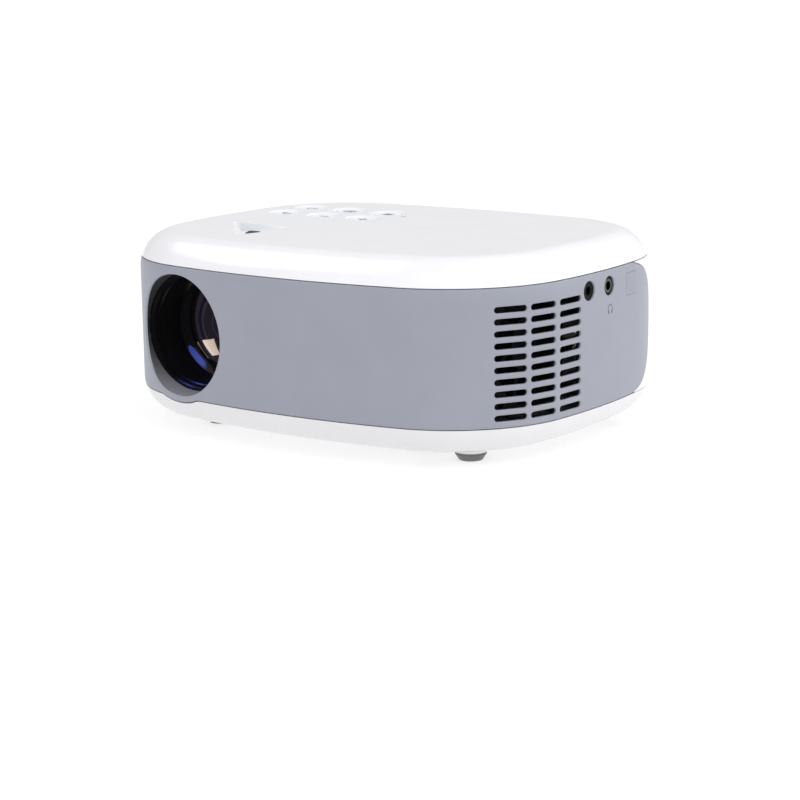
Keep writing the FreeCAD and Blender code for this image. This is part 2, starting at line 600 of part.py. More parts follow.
# ---------------------------------------------------------------- focus wheel with its pinion
KNURLS = 28
disc = doc.addObject("PartDesign::Body", "wheel_disc")
disc_sketch = add_sketch(disc, "XY_Plane")
draw_circle(disc_sketch, "0", "0", "wheel_radius")
pad(disc, disc_sketch, "wheel_width")
groove_sketch = add_sketch(disc, "XY_Plane")
draw_circle(groove_sketch, "wheel_radius + 0.15", "0", "0.42")
doc.recompute()
groove = disc.newObject("PartDesign::Pocket", "knurl_groove")
groove.Profile = groove_sketch
groove.Type = "ThroughAll"
groove.Midplane = True
knurls = disc.newObject("PartDesign::PolarPattern", "knurls")
knurls.Originals = [groove]
knurls.Axis = (groove_sketch, ["N_Axis"])
knurls.Angle = 360.0
knurls.Occurrences = KNURLS
disc.Tip = knurls
place(disc, "wheel_x - wheel_width / 2", "wheel_y", "wheel_z", "x")


def involute(angle, base):
    """A point of the involute of a circle, at an unwinding angle."""
    return (base * (math.cos(angle) + angle * math.sin(angle)),
            base * (math.sin(angle) - angle * math.cos(angle)))


def pinion_outline(teeth, module, backlash):
    """Closed involute outline of a 20 degree pinion, as (radius, angle) points."""
    pitch = module * teeth / 2
    base = pitch * math.cos(math.radians(20))
    tip, root = pitch + 0.8 * module, pitch - 1.2 * module
    thickness = (math.pi * module / 2 - backlash) / pitch
    half = thickness / 2 + math.tan(math.radians(20)) - math.radians(20)
    unwound = math.sqrt((tip / base) ** 2 - 1)
    flank = []
    for step in range(5):
        x, y = involute(unwound * step / 4, base)
        flank.append((math.hypot(x, y), half - math.atan2(y, x)))
    points = []
    for tooth in range(teeth):
        middle = 2 * math.pi * tooth / teeth
        points += [(root, middle - half - 0.02)] + [(r, middle - a) for r, a in flank]
        points += [(r, middle + a) for r, a in reversed(flank)] + [(root, middle + half + 0.02)]
    return points


def gear_shape(x_start, width):
    """The pinion, with one tooth pointing straight down into the rack."""
    corners = [FreeCAD.Vector(x_start, value("wheel_y") + r * math.sin(a), value("wheel_z") - r * math.cos(a))
               for r, a in pinion_outline(round(value("gear_teeth")), MODULE, BACKLASH)]
    face = Part.Face(Part.makePolygon(corners + corners[:1]))
    return face.extrude(FreeCAD.Vector(width, 0, 0))


pinion = doc.addObject("Part::Feature", "pinion")
pinion.Shape = gear_shape(value(PINION_X), value("gear_width"))
hub = cylinder("wheel_hub", "x", (PINION_X, "wheel_y", "wheel_z"), "2.0", f"wheel_x - ({PINION_X})")
subpart("focus_wheel", cut("focus_wheel_cut", fuse("focus_wheel_solid", disc, hub, pinion),
                           cylinder("wheel_bore_way", "x", ("-60", "wheel_y", "wheel_z"), "wheel_bore",
                                    "30")))

# ---------------------------------------------------------------- keys, key board and status light
for key, key_x, key_y in KEYS:
    top = "body_high - key_drop"
    subpart(f"{key}_key", turned(f"{key}_key_turn", (key_x, key_y, "0"), "z", [
        ("0", "board_high + 3.7"), ("1.6", "board_high + 3.7"), ("1.6", "board_high + 4.1"),
        ("key_radius + 1.1", "board_high + 4.1"), ("key_radius + 1.1", "board_high + 5.1"),
        ("key_radius", "board_high + 5.1"), ("key_radius", f"{top} - 0.5"),
        ("key_radius - 0.5", top), ("0", f"{top} - 0.25")]))
subpart("key_board", cut(
    "key_board_cut",
    box("key_board_plate", ("-80", "-11"), ("9", "46"), ("board_high - board_thick", "board_high")),
    *upright_at((("a", "-77", "12"), ("b", "-14", "12"), ("c", "-77", "43"), ("d", "-14", "43")),
                "board_hole", "1.4", "board_high - 3", "board_high + 1")))
subpart("key_switches", group("key_switch_group", [
    fuse(f"{key}_switch", box(f"{key}_switch_case", (f"{x} - 3", f"{x} + 3"), (f"{y} - 3", f"{y} + 3"),
                              ("board_high", "board_high + 2.2")),
         cylinder(f"{key}_switch_stem", "z", (x, y, "board_high + 2"), "1.6", "1"))
    for key, x, y in KEYS]))
subpart("status_light", cylinder("light_pipe", "z", ("light_x", "key_y + 2.8", "board_high + 0.2"),
                                 "light_radius", "body_high - board_high - 0.2"))

# ---------------------------------------------------------------- light engine
subpart("light_box", cut(
    "light_box_cut",
    fuse("light_box_solid", engine_box("light_box_outside", "41", ("-21.8", "30"), "27", "25.2"),
         *upright_at((("a", "-80", "-10"), ("b", "-22", "-10"), ("c", "-80", "22"), ("d", "-22", "22")),
                     "light_box_leg", "3.2", "body_low + wall + 0.1", "lens_z - 26")),
    engine_box("light_box_inside", "39", ("-19.8", "28"), "25", "30"),
    lens_cylinder("light_box_front_hole", "-25", "-15", "20"),
    engine_box("light_box_rear_hole", "22", ("25", "35"), "20", "20")))
subpart("light_box_cover", engine_box("light_box_lid", "41", ("-21.8", "30"), "-25.3", "27"))


def light_plate(node, y, thickness):
    """One flat optical plate that stands across the light box."""
    return subpart(node, engine_box(node + "_plate", "38.6", (y, f"{y} + {thickness}"), "24.9", "24.9"))


light_plate("front_fresnel", "6", "2")
light_plate("lcd_panel", "12", "2.4")
light_plate("rear_fresnel", "18.5", "2")
light_plate("heat_glass", "24.5", "1.1")
subpart("reflector", cut(
    "reflector_cut", engine_box("reflector_case", "26", ("30.2", "49.8"), "24", "24"),
    lens_cylinder("reflector_seat", "29", "39.5", "20"),
    cone("reflector_cone", "y", ("lens_x", "39.5", "lens_z"), "20", "9", "11")))
subpart("condenser_lens", domed_lens("condenser_solid", "36", "32", "19.8", "26", 1))
subpart("led_module", fuse("led_module_solid",
                           engine_box("led_plate", "20", ("50", "51.8"), "20", "20"),
                           engine_box("led_chip", "6", ("48.8", "50.5"), "6", "6")))
FINS = 9
fins = [box(f"fin_{number}", (f"lens_x - 25 + {number} * 6", f"lens_x - 23.4 + {number} * 6"), ("55", "63.5"),
            ("lens_z - 22", "lens_z + 22")) for number in range(FINS)]
subpart("led_heatsink", fuse("led_heatsink_solid",
                             engine_box("heatsink_base", "25", ("52", "55.5"), "22", "22"), *fins))

# ---------------------------------------------------------------- fan behind the outlet grille
FAN_X, FAN_Y, FAN_Z = "66", "-24", BAND_MIDDLE
FAN_DEPTH = "15"
spokes = [box(f"fan_spoke_{name}", (FAN_X, f"{FAN_X} + 1.5"), (f"{FAN_Y} - {across}", f"{FAN_Y} + {across}"),
              (f"{FAN_Z} - {upright}", f"{FAN_Z} + {upright}"))
          for name, across, upright in (("level", "24", "1.5"), ("upright", "1.5", "24"))]
fan_case = cut(
    "fan_case",
    box("fan_block", (FAN_X, f"{FAN_X} + {FAN_DEPTH}"), (f"{FAN_Y} - 25", f"{FAN_Y} + 25"),
        (f"{FAN_Z} - 25", f"{FAN_Z} + 25")),
    cylinder("fan_way", "x", ("60", FAN_Y, FAN_Z), "23.4", "30"),
    *[cylinder(f"fan_screw_way_{i}_{j}", "x", ("60", f"{FAN_Y} + {i * 20}", f"{FAN_Z} + {j * 20}"), "2", "30")
      for i in (-1, 1) for j in (-1, 1)])
subpart("fan_frame", fuse("fan_frame_solid", fan_case, *spokes,
                          cylinder("fan_mount", "x", (FAN_X, FAN_Y, FAN_Z), "10.5", "2"),
                          cylinder("fan_pin", "x", (FAN_X, FAN_Y, FAN_Z), "1.0", "11")))
BLADES = 7
BLADE_PITCH = FreeCAD.Rotation(FreeCAD.Vector(0, 1, 0), 38.0)
fan_middle = FreeCAD.Vector(value(f"{FAN_X} + 8.6"), value(FAN_Y), value(FAN_Z))
fan_blades = []
for number in range(BLADES):
    blade = bind(doc.addObject("Part::Box", f"fan_blade_{number}"), Length="13", Width="12.4", Height="1.2")
    centred = FreeCAD.Placement(FreeCAD.Vector(-6.5, 0, -0.6), FreeCAD.Rotation())
    pitched = FreeCAD.Placement(FreeCAD.Vector(0, 10, 0), BLADE_PITCH)
    spun = FreeCAD.Placement(fan_middle, FreeCAD.Rotation(FreeCAD.Vector(1, 0, 0), 360.0 * number / BLADES))
    blade.Placement = spun.multiply(pitched).multiply(centred)
    fan_blades.append(blade)
subpart("fan_rotor", cut(
    "fan_rotor_cut",
    fuse("fan_rotor_solid", cylinder("rotor_hub", "x", (f"{FAN_X} + 2.6", FAN_Y, FAN_Z), "11", "11.6"),
         *fan_blades),
    cylinder("rotor_hollow", "x", (f"{FAN_X} + 2", FAN_Y, FAN_Z), "9.6", "4"),
    cylinder("rotor_bore", "x", (f"{FAN_X} + 2", FAN_Y, FAN_Z), "1.05", "9.6")))

# ---------------------------------------------------------------- boards and sockets
subpart("main_board", fuse(
    "main_board_solid", box("main_board_plate", ("2", "75"), ("8", "64"), ("20.05", "21.6")),
    box("main_chip", ("30", "44"), ("26", "40"), ("21.6", "23.2")),
    box("memory_chip", ("50", "60"), ("28", "36"), ("21.6", "22.8"))))
subpart("chip_heatsink", fuse(
    "chip_heatsink_solid", box("chip_heatsink_base", ("29", "45"), ("25", "41"), ("23.3", "25")),
    *[box(f"chip_fin_{number}", (f"29 + {number} * 3.6", f"30.6 + {number} * 3.6"), ("25", "41"),
          ("25", "31")) for number in range(5)]))
subpart("power_board", fuse(
    "power_board_solid", box("power_board_plate", ("-14", "56"), ("-56", "-9"), ("12", "13.6")),
    cylinder("bulk_capacitor", "z", ("4", "-24", "13.6"), "8", "24"),
    cylinder("output_capacitor", "z", ("40", "-40", "13.6"), "5", "16")))
subpart("power_transformer", fuse(
    "transformer_solid", box("transformer_core", ("16", "36"), ("-34", "-12"), ("13.7", "32")),
    box("transformer_coil", ("13", "39"), ("-30", "-16"), ("17", "29"))))
subpart("side_board", box("side_board_plate", ("83.5", "95.4"), ("-17", "29"),
                          ("jack_z - 5.3", "jack_z - 3.7")))

JACK_FACE = "body_width / 2 - 0.8"
for jack, jack_y in (("av", "av_y"), ("headphone", "headphone_y")):
    case = box(f"{jack}_jack_case", ("84.4", "97.2"), (f"{jack_y} - 3.6", f"{jack_y} + 3.6"),
               ("jack_z - 3.6", "jack_z + 3.6"))
    nose = cylinder(f"{jack}_jack_nose", "x", ("97", jack_y, "jack_z"),
                    "jack_hole - 0.1", f"{JACK_FACE} - 97")
    bore = cylinder(f"{jack}_jack_bore", "x", ("86.4", jack_y, "jack_z"), "jack_bore", "20")
    tools = [bore]
    if jack == "headphone":
        tools.append(cylinder("sleeve_seat", "x", ("97.6", jack_y, "jack_z"), "jack_bore + 0.95", "10"))
    subpart(f"{jack}_jack", cut(f"{jack}_jack_cut", fuse(f"{jack}_jack_solid", case, nose), *tools))
subpart("headphone_sleeve", cut(
    "headphone_sleeve_cut",
    cylinder("sleeve_outside", "x", ("97.6", "headphone_y", "jack_z"),
             "jack_bore + 0.9", f"{JACK_FACE} - 97.5"),
    cylinder("sleeve_inside", "x", ("97", "headphone_y", "jack_z"), "jack_bore", "10")))
subpart("ir_window", common("ir_window_solid", hull_skin,
                            box("window_block", ("80", "110"),
                                ("window_y - window_side / 2 + 0.08", "window_y + window_side / 2 - 0.08"),
                                ("window_z - window_side / 2 + 0.08", "window_z + window_side / 2 - 0.08"))))
subpart("ir_receiver", fuse("ir_receiver_solid",
                            box("ir_case", ("88.5", "92"), ("window_y - 2.6", "window_y + 2.6"),
                                ("jack_z - 3.7", "jack_z + 2.4")),
                            cylinder("ir_dome", "x", ("92", "window_y", "jack_z - 1"), "2", "1.6")))


def shell_socket(name, x, half, half_height, y_end, wall):
    """A folded metal socket shell, open to the rear, with a contact tongue inside."""
    low, high = PORT_Z, f"{PORT_Z} + 2 * {half_height}"
    shell = cut(name + "_shell", box(name + "_outside", (f"{x} - {half}", f"{x} + {half}"), ("62", y_end),
                                     (f"{low} + 0.05", high)),
                box(name + "_inside", (f"{x} - {half} + {wall}", f"{x} + {half} - {wall}"), ("64", "90"),
                    (f"{low} + {wall}", f"{high} - {wall}")))
    tongue = box(name + "_tongue", (f"{x} - {half} + 1.6", f"{x} + {half} - 1.6"), ("63", f"{y_end} - 1.5"),
                 (f"{low} + {half_height}", f"{low} + {half_height} + 1.2"))
    return fuse(name, shell, tongue)


SOCKET_ENDS = {"hdmi": "78", "usb_a": "76.6", "usb_b": "74.8"}
sockets = {label: shell_socket(f"{label}_socket", x, half, half_height, SOCKET_ENDS[label], "0.4")
           for label, x, half, half_height in REAR_PORTS}
subpart("hdmi_socket", sockets["hdmi"])
subpart("usb_sockets", group("usb_socket_pair", [sockets["usb_a"], sockets["usb_b"]]))

INLET_END = "78.6"
inlet_ways = [cylinder(f"inlet_way_{side}", "y", (f"{INLET_X} + ({side}) * 4.3", "66", INLET_Z), "4.2", "20")
              for side in (-1, 1)]
inlet_middle = box("inlet_middle", (f"{INLET_X} - 4.3", f"{INLET_X} + 4.3"), ("66", "90"),
                   (f"{INLET_Z} - 3.1", f"{INLET_Z} + 3.1"))
inlet_case = cut("inlet_case", box("inlet_block", (f"{INLET_X} - 10", f"{INLET_X} + 10"), ("60", INLET_END),
                                   (f"{INLET_Z} - 6", f"{INLET_Z} + 6")), *inlet_ways, inlet_middle)
subpart("power_inlet", inlet_case)
subpart("inlet_pins", group("inlet_pin_pair", [
    cylinder(f"inlet_pin_{side}", "y", (f"{INLET_X} + ({side}) * 4.3", "66", INLET_Z), "1.2", "10")
    for side in (-1, 1)]))

# ---------------------------------------------------------------- speaker
SPEAKER = ("43.5", "52")


def speaker_turned(name, profile):
    return turned(name, (SPEAKER[0], "0", SPEAKER[1]), "y", profile)


subpart("speaker_frame", speaker_turned("speaker_frame_turn", [
    ("8", "56"), ("9.5", "56"), ("15.3", "66"), ("15.3", "69.5"),
    ("14.2", "69.5"), ("14.2", "66.6"), ("8", "57.2")]))
subpart("speaker_cone", speaker_turned("speaker_cone_turn", [
    ("0", "60.9"), ("5", "60.6"), ("14", "68.2"), ("14", "68.8"), ("5", "61.4"), ("0", "63.4")]))
subpart("speaker_magnet", speaker_turned("speaker_magnet_turn", [
    ("0", "49"), ("9", "49"), ("9", "55.9"), ("0", "55.9")]))

# ---------------------------------------------------------------- filter, feet, insert and screws
subpart("dust_filter", box("filter_pad", ("-96", "-94.6"), ("-18", "27"), ("20", "65")))
subpart("rubber_feet", group("foot_group", [
    turned(f"foot_{label}", (x, y, "0"), "z", [
        ("0", "0"), ("foot_tip", "0"), ("foot_top", "foot_height - 0.9"), ("foot_top", "foot_height"),
        ("1.8", "foot_height"), ("1.8", "5.4"), ("0", "5.4")]) for label, x, y in FEET]))
subpart("tripod_insert", cut(
    "tripod_insert_cut",
    cylinder("insert_outside", "z", ("0", "0", "body_low"), "insert_outer - 0.02", "insert_length - 0.1"),
    cylinder("insert_inside", "z", ("0", "0", "body_low - 1"), "insert_bore", "insert_length + 3")))
subpart("case_screws", group("case_screw_group", [
    turned(f"case_screw_{label}", (x, y, "0"), "z", [
        ("0", "head_ledge - 2"), ("screw_head", "head_ledge - 2"), ("screw_head", "head_ledge - 0.05"),
        ("screw_radius", "head_ledge - 0.05"), ("screw_radius", "head_ledge + 18"), ("0", "head_ledge + 18")])
    for label, x, y in POSTS]))
subpart("board_screws", group("board_screw_group", [
    turned(f"board_screw_{label}", (x, y, "0"), "z", [
        ("0", "21.65"), ("2.2", "21.65"), ("2.2", "23"), ("0", "23")]) for label, x, y in STANDOFFS]))

# ---------------------------------------------------------------- checks and export
doc.recompute()
for item in doc.Objects:
    if "Invalid" in item.State or "Error" in item.State:
        raise RuntimeError(f"{item.Label} did not compute: {item.State}")
os.makedirs("parts", exist_ok=True)
for item in subparts:
    shape = item.Shape
    if shape.isNull() or not shape.isValid() or not shape.Solids:
        raise RuntimeError(f"{item.Label} has no valid solid")
    shape.exportStep(f"parts/{item.Label}.step")
    print(f"{item.Label:20s} solids {len(shape.Solids)}  volume {shape.Volume:10.1f} mm3")
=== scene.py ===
import math

import bmesh
import bpy
from mathutils import Matrix, Vector
from mathutils.geometry import delaunay_2d_cdt


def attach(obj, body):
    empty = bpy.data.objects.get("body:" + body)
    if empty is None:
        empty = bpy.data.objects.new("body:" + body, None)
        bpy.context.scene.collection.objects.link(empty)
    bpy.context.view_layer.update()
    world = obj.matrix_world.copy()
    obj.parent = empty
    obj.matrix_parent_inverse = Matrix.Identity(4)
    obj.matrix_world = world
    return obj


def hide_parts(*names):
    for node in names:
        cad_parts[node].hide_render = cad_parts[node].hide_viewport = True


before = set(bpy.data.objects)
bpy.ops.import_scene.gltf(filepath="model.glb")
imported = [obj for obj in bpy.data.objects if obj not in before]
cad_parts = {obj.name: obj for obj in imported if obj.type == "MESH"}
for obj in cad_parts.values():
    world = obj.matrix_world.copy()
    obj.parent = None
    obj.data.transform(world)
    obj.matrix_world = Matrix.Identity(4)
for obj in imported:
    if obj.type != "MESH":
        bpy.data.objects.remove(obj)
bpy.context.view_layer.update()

# Home projector.  The shells are drawn here in millimetres, in the frame's own axes: the lens looks
# along -Y and the jacks are on the +X side.  Every point is scaled to metres when its piece is made.
MM = 0.001

# ---------------------------------------------------------------- driving sizes, millimetres
WIDTH, DEPTH, TOP, UNDER = 200.0, 159.7, 79.6, 5.0
FRONT_ARC, SIDE_ARC, BACK_ARC, CORNER_ARC = 330.4, 268.3, 495.8, 52.1
HIGH_ROUND, LOW_ROUND, WALL = 14.8, 14.3, 2.2
BAND_LOW, BAND_HIGH, SEAM = 16.05, 69.2, 0.2
LIP_INSET, LIP_WALL, LIP_DROP = 3.0, 1.2, 1.7
BAND_MIDDLE = (BAND_LOW + BAND_HIGH) / 2
BAND_END_Y = 23.0
BAND_END_RADIUS = (BAND_HIGH - BAND_LOW - SEAM) / 2
LENS_X, LENS_Z = -52.2, 41.3
HOOD_BORE, HOOD_WALL, HOOD_END_Y = 24.6, 2.7, -64.0
VENT_FIRST, VENT_PITCH, VENT_ROWS, VENT_HALF = 19.9, 4.556, 10, 1.2
OUTLET_COLUMNS = ((-57.1, -45.6), (-44.0, -31.8), (-29.5, -16.0))
INTAKE_COLUMNS = ((-16.0, -3.5), (-1.5, 11.0), (13.0, 25.5))
HEAT_COLUMNS = ((-75.0, -61.5), (-59.0, -45.5), (-43.0, -29.5))
SPEAKER_COLUMNS = ((27.0, 42.0), (45.0, 60.0))
JACK_Z, JACK_HOLE, AV_Y, HEADPHONE_Y = 62.75, 3.85, -10.3, 4.7
WINDOW_Y, WINDOW_Z, WINDOW_SIDE = 23.3, 61.2, 9.0
KEY_X, KEY_Y, KEY_PITCH_X, KEY_PITCH_Y, KEY_RADIUS = -48.3, 27.2, 20.5, 18.6, 5.6
KEYS = {name: Vector((KEY_X + column * KEY_PITCH_X, KEY_Y + rank * KEY_PITCH_Y))
        for name, column, rank in (("power", -1, 0.5), ("source", 0, 0.5), ("menu", 1, 0.5),
                                   ("back", -1, -0.5), ("minus", 0, -0.5), ("plus", 1, -0.5))}
LIGHT_SPOT, LIGHT_RADIUS = Vector((-15.1, KEY_Y + 2.8)), 0.95
DISH_LEFT, DISH_TIP = Vector((-69.8, -17.8)), Vector((-40.8, -51.1))
# the last number is the depth below which the dish's faces take its painted shade
DISH_RIGHT, DISH_DEPTH, DISH_SHADE_BELOW = Vector((-31.7, -21.6)), 4.5, 0.03
WHEEL_X, WHEEL_Y, WHEEL_Z, WHEEL_RADIUS, WHEEL_WIDTH = -44.5, -35.0, 72.1, 7.0, 3.6
FEET = [Vector((x, y)) for x in (-56.0, 68.0) for y in (-45.0, 45.0)]
POSTS = [Vector(spot) for spot in ((-84, -37), (60, -61), (-84, 37), (84, 37))]
EDGE_STEPS, SHELL_EDGE = 3, 0.35
# depth in the vent and jack openings below which their walls are painted black as shade
VENT_SHADE_DEPTH = 0.8
RING_STEPS, GRID_PITCH = 420, 2.0
MESH_ROWS = [VENT_FIRST + VENT_PITCH * (row + 0.5) for row in range(VENT_ROWS)]
MESH_ROWS += [17.3, 18.4, 19.3, TOP - HIGH_ROUND, 66.4, 68.0]


# ---------------------------------------------------------------- the body's outline and hull
def polar(vector):
    return math.atan2(vector.y, vector.x)


def corner_centre(sign, end, end_radius, side):
    """Centre of the corner arc that lies tangent inside an end arc and the +X side arc."""
    reach_end, reach_side = end_radius - CORNER_ARC, SIDE_ARC - CORNER_ARC
    gap = (side - end).length
    along = (reach_end ** 2 - reach_side ** 2 + gap ** 2) / (2 * gap)
    unit = (side - end) / gap
    across = Vector((-unit.y, unit.x)) * math.sqrt(reach_end ** 2 - along ** 2)
    middle = end + unit * along
    return max(middle + across, middle - across, key=lambda point: point.x + sign * point.y)


def half_outline():
    """The arcs of the +X half from the front's middle: centre, radius, first and last angle."""
    front = Vector((0, FRONT_ARC - DEPTH / 2))
    back = Vector((0, DEPTH / 2 - BACK_ARC))
    side = Vector((WIDTH / 2 - SIDE_ARC, 0))
    near = corner_centre(-1, front, FRONT_ARC, side)
    far = corner_centre(1, back, BACK_ARC, side)
    turns = [-math.pi / 2, polar(near - front), polar(near - side), polar(far - side),
             polar(far - back), math.pi / 2]
    circles = ((front, FRONT_ARC), (near, CORNER_ARC), (side, SIDE_ARC), (far, CORNER_ARC),
               (back, BACK_ARC))
    return [(centre, radius, turns[i], turns[i + 1]) for i, (centre, radius) in enumerate(circles)]


ARCS = half_outline()
HALF = sum(radius * (end - start) for _, radius, start, end in ARCS)
RING_PLACES = [2 * HALF * i / RING_STEPS - HALF for i in range(RING_STEPS)]


def outline(u, inset=0.0):
    """Plan point u millimetres round the outline from the front's middle, moved in by the inset."""
    u = (u + HALF) % (2 * HALF) - HALF
    left = abs(u)
    for centre, radius, start, end in ARCS:
        if left <= radius * (end - start):
            break
        left -= radius * (end - start)
    angle = min(start + left / radius, end)
    point = centre + Vector((math.cos(angle), math.sin(angle))) * (radius - inset)
    return Vector((point.x if u >= 0 else -point.x, point.y))


def solve(rising, low, high, target):
    for _ in range(36):
        middle = (low + high) / 2
        if rising(middle) < target:
            low = middle
        else:
            high = middle
    return (low + high) / 2


def u_at_y(side, y):
    """Place round the outline where the right (1) or left (-1) half passes y."""
    return side * solve(lambda u: outline(u).y, 0, HALF, y)


U_SIDE = u_at_y(1, 0)


def u_at_front(x):
    return solve(lambda u: outline(u).x, -U_SIDE, U_SIDE, x)


def u_at_back(x):
    return solve(lambda u: -outline(u).x, U_SIDE, 2 * HALF - U_SIDE, -x)


def inset_of(point):
    """How far a plan point lies inside the outline."""
    mirrored = Vector((abs(point.x), point.y))
    best = None
    for centre, radius, start, end in ARCS:
        if start - 1e-6 <= polar(mirrored - centre) <= end + 1e-6:
            inset = radius - (mirrored - centre).length
            best = inset if best is None else min(best, inset)
    return best


def hull(u, z, deep=0.0):
    """A point of the body's outer face at place u and height z, or one that lies deep inside it."""
    lift, radius = 0.0, 0.0
    if z > TOP - HIGH_ROUND:
        radius = HIGH_ROUND
        lift = math.asin(min(1, (z - TOP + radius) / radius))
    elif z < UNDER + LOW_ROUND:
        radius = LOW_ROUND
        lift = -math.asin(min(1, (UNDER + radius - z) / radius))
    inset = radius * (1 - math.cos(lift))
    plan = outline(u, inset + deep * math.cos(lift))
    return Vector((plan.x, plan.y, z - deep * math.sin(lift)))


# ---------------------------------------------------------------- mesh building
class Region:
    """The flat region that lies inside an odd number of loops."""
    BAND = 0.5

    def __init__(self, loops):
        self.bands = {}
        for loop in loops:
            for start, end in zip(loop, loop[1:] + loop[:1]):
                low, high = sorted((start.y, end.y))
                for band in range(math.floor(low / self.BAND), math.floor(high / self.BAND) + 1):
                    self.bands.setdefault(band, []).append((start, end))

    def holds(self, point):
        inside = False
        for start, end in self.bands.get(math.floor(point.y / self.BAND), ()):
            if (start.y > point.y) != (end.y > point.y):
                if point.x < start.x + (end.x - start.x) * (point.y - start.y) / (end.y - start.y):
                    inside = not inside
        return inside


class Build:
    """Gathers the points, in millimetres, and the faces of one piece."""

    def __init__(self):
        self.points = []
        self.faces = []
        self.tints = {}

    def tint(self, start, number):
        """Gives the faces made since start the piece's material of this number."""
        for face in range(start, len(self.faces)):
            self.tints[face] = number

    def add(self, points):
        start = len(self.points)
        self.points += [Vector(point) for point in points]
        return list(range(start, len(self.points)))

    def strip(self, first, second):
        """Joins two closed loops of the same length."""
        count = len(first)
        for i in range(count):
            j = (i + 1) % count
            self.faces.append((first[i], first[j], second[j], second[i]))

    def strips(self, loops):
        for first, second in zip(loops, loops[1:]):
            self.strip(first, second)

    def fill(self, loops, lattice, front, back):
        """Triangulates the flat region between loops, for the outer face and the inner one.
        A loop is (flat points, outer indices, inner indices)."""
        flat = [Vector(point) for points, _, _ in loops for point in points] + list(lattice)
        outer = [i for _, indices, _ in loops for i in indices] + self.add(map(front, lattice))
        inner = [i for _, _, indices in loops for i in indices] + self.add(map(back, lattice))
        edges = []
        for points, _, _ in loops:
            start, count = len(edges), len(points)
            edges += [(start + i, start + (i + 1) % count) for i in range(count)]
        corners, _, faces, origins, _, _ = delaunay_2d_cdt(flat, edges, [], 0, 1e-6)
        region = Region([points for points, _, _ in loops])
        for face in faces:
            centre = sum((corners[i] for i in face), Vector((0, 0))) / len(face)
            if region.holds(centre):
                self.faces.append([outer[origins[i][0]] for i in face])
                self.faces.append([inner[origins[i][0]] for i in reversed(face)])

    def fan(self, loop, point):
        """Closes a loop with triangles round one point."""
        middle = self.add([point])[0]
        for i, corner in enumerate(loop):
            self.faces.append((corner, loop[(i + 1) % len(loop)], middle))

    def lathe(self, place, profile, count):
        """Turns a (radius, distance) profile; place(radius, distance, angle) gives each point.
        A radius of 0 closes an end."""
        loops = []
        for radius, distance in profile:
            if radius > 0:
                loops.append(self.add([place(radius, distance, 2 * math.pi * i / count)
                                       for i in range(count)]))
        self.strips(loops)
        for (radius, distance), loop in ((profile[0], loops[0]), (profile[-1], loops[-1])):
            if radius == 0:
                self.fan(loop, place(0, distance, 0))


def make(name, build, materials, body="case", nodes=(), crease=32.0):
    """Turns a build into a finished piece: welded, smooth, with weighted normals."""
    mesh = bpy.data.meshes.new(name)
    mesh.from_pydata([point * MM for point in build.points], [], build.faces)
    for material in materials:
        mesh.materials.append(MATERIALS[material])
    for face, number in build.tints.items():
        mesh.polygons[face].material_index = number
    work = bmesh.new()
    work.from_mesh(mesh)
    bmesh.ops.remove_doubles(work, verts=work.verts, dist=1e-7)
    bmesh.ops.dissolve_degenerate(work, edges=work.edges, dist=1e-8)
    bmesh.ops.recalc_face_normals(work, faces=work.faces)
    work.to_mesh(mesh)
    work.free()
    mesh.polygons.foreach_set("use_smooth", [True] * len(mesh.polygons))
    mesh.set_sharp_from_angle(angle=math.radians(crease))
    piece = bpy.data.objects.new(name, mesh)
    bpy.context.scene.collection.objects.link(piece)
    weighted = piece.modifiers.new("weighted_normals", "WEIGHTED_NORMAL")
    weighted.keep_sharp = True
    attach(piece, body)
    if nodes:
        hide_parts(*nodes)
    return piece


class RoundBox:
    """A flat opening from low to high with rounded corners; it is a slot or a disc if they meet."""

    def __init__(self, low, high, corner, steps=5):
        self.middle = (Vector(low) + Vector(high)) / 2
        self.arm = (Vector(high) - Vector(low)) / 2 - Vector((corner, corner))
        self.corner = corner
        self.steps = steps

    def loop(self, grow):
        points = []
        for number, (x, y) in enumerate(((1, -1), (1, 1), (-1, 1), (-1, -1))):
            centre = self.middle + Vector((x * self.arm.x, y * self.arm.y))
            for step in range(self.steps + 1):
                angle = math.pi / 2 * (number - 1 + step / self.steps)
                points.append(centre + Vector((math.cos(angle), math.sin(angle))) * (self.corner + grow))
        return [point for i, point in enumerate(points) if (point - points[i - 1]).length > 1e-4]

    def gap(self, point):
        """Distance from the opening's edge, less than 0 inside it."""
        away = point - self.middle
        x, y = abs(away.x) - self.arm.x, abs(away.y) - self.arm.y
        return math.hypot(max(x, 0), max(y, 0)) + min(max(x, y), 0) - self.corner


def disc(x, y, radius, steps=8):
    return RoundBox((x - radius, y - radius), (x + radius, y + radius), radius, steps)


def rolled_edge(build, loop, place, edge, wall, shade_depth=0.0):
    """Rounds the edge of an opening over and takes its side wall down to the inner face.
    Where a depth is given last, the wall takes the piece's second material below it, painted shade deep in
    the opening."""
    rings = []
    for step in range(EDGE_STEPS + 1):
        turn = math.pi / 2 * step / EDGE_STEPS
        deep = edge * (1 - math.cos(turn))
        rings.append(build.add([place(point, deep) for point in loop(edge * (1 - math.sin(turn)))]))
    if shade_depth:
        rings.append(build.add([place(point, shade_depth) for point in loop(0)]))
    build.strips(rings)
    start = len(build.faces)
    foot = build.add([place(point, wall) for point in loop(0)])
    build.strip(rings[-1], foot)
    if shade_depth:
        build.tint(start, 1)
    return loop(edge), rings[0], foot


def lattice(x_places, y_places, clear):
    return [point for x in x_places for y in y_places if clear(point := Vector((x, y)))]


def spread(low, high, pitch):
    """Even places from low to high, about pitch apart, both ends included."""
    count = max(1, round((high - low) / pitch))
    return [low + (high - low) * i / count for i in range(count + 1)]


def wall_point(flat, deep):
    return hull(flat.x, flat.y, deep)


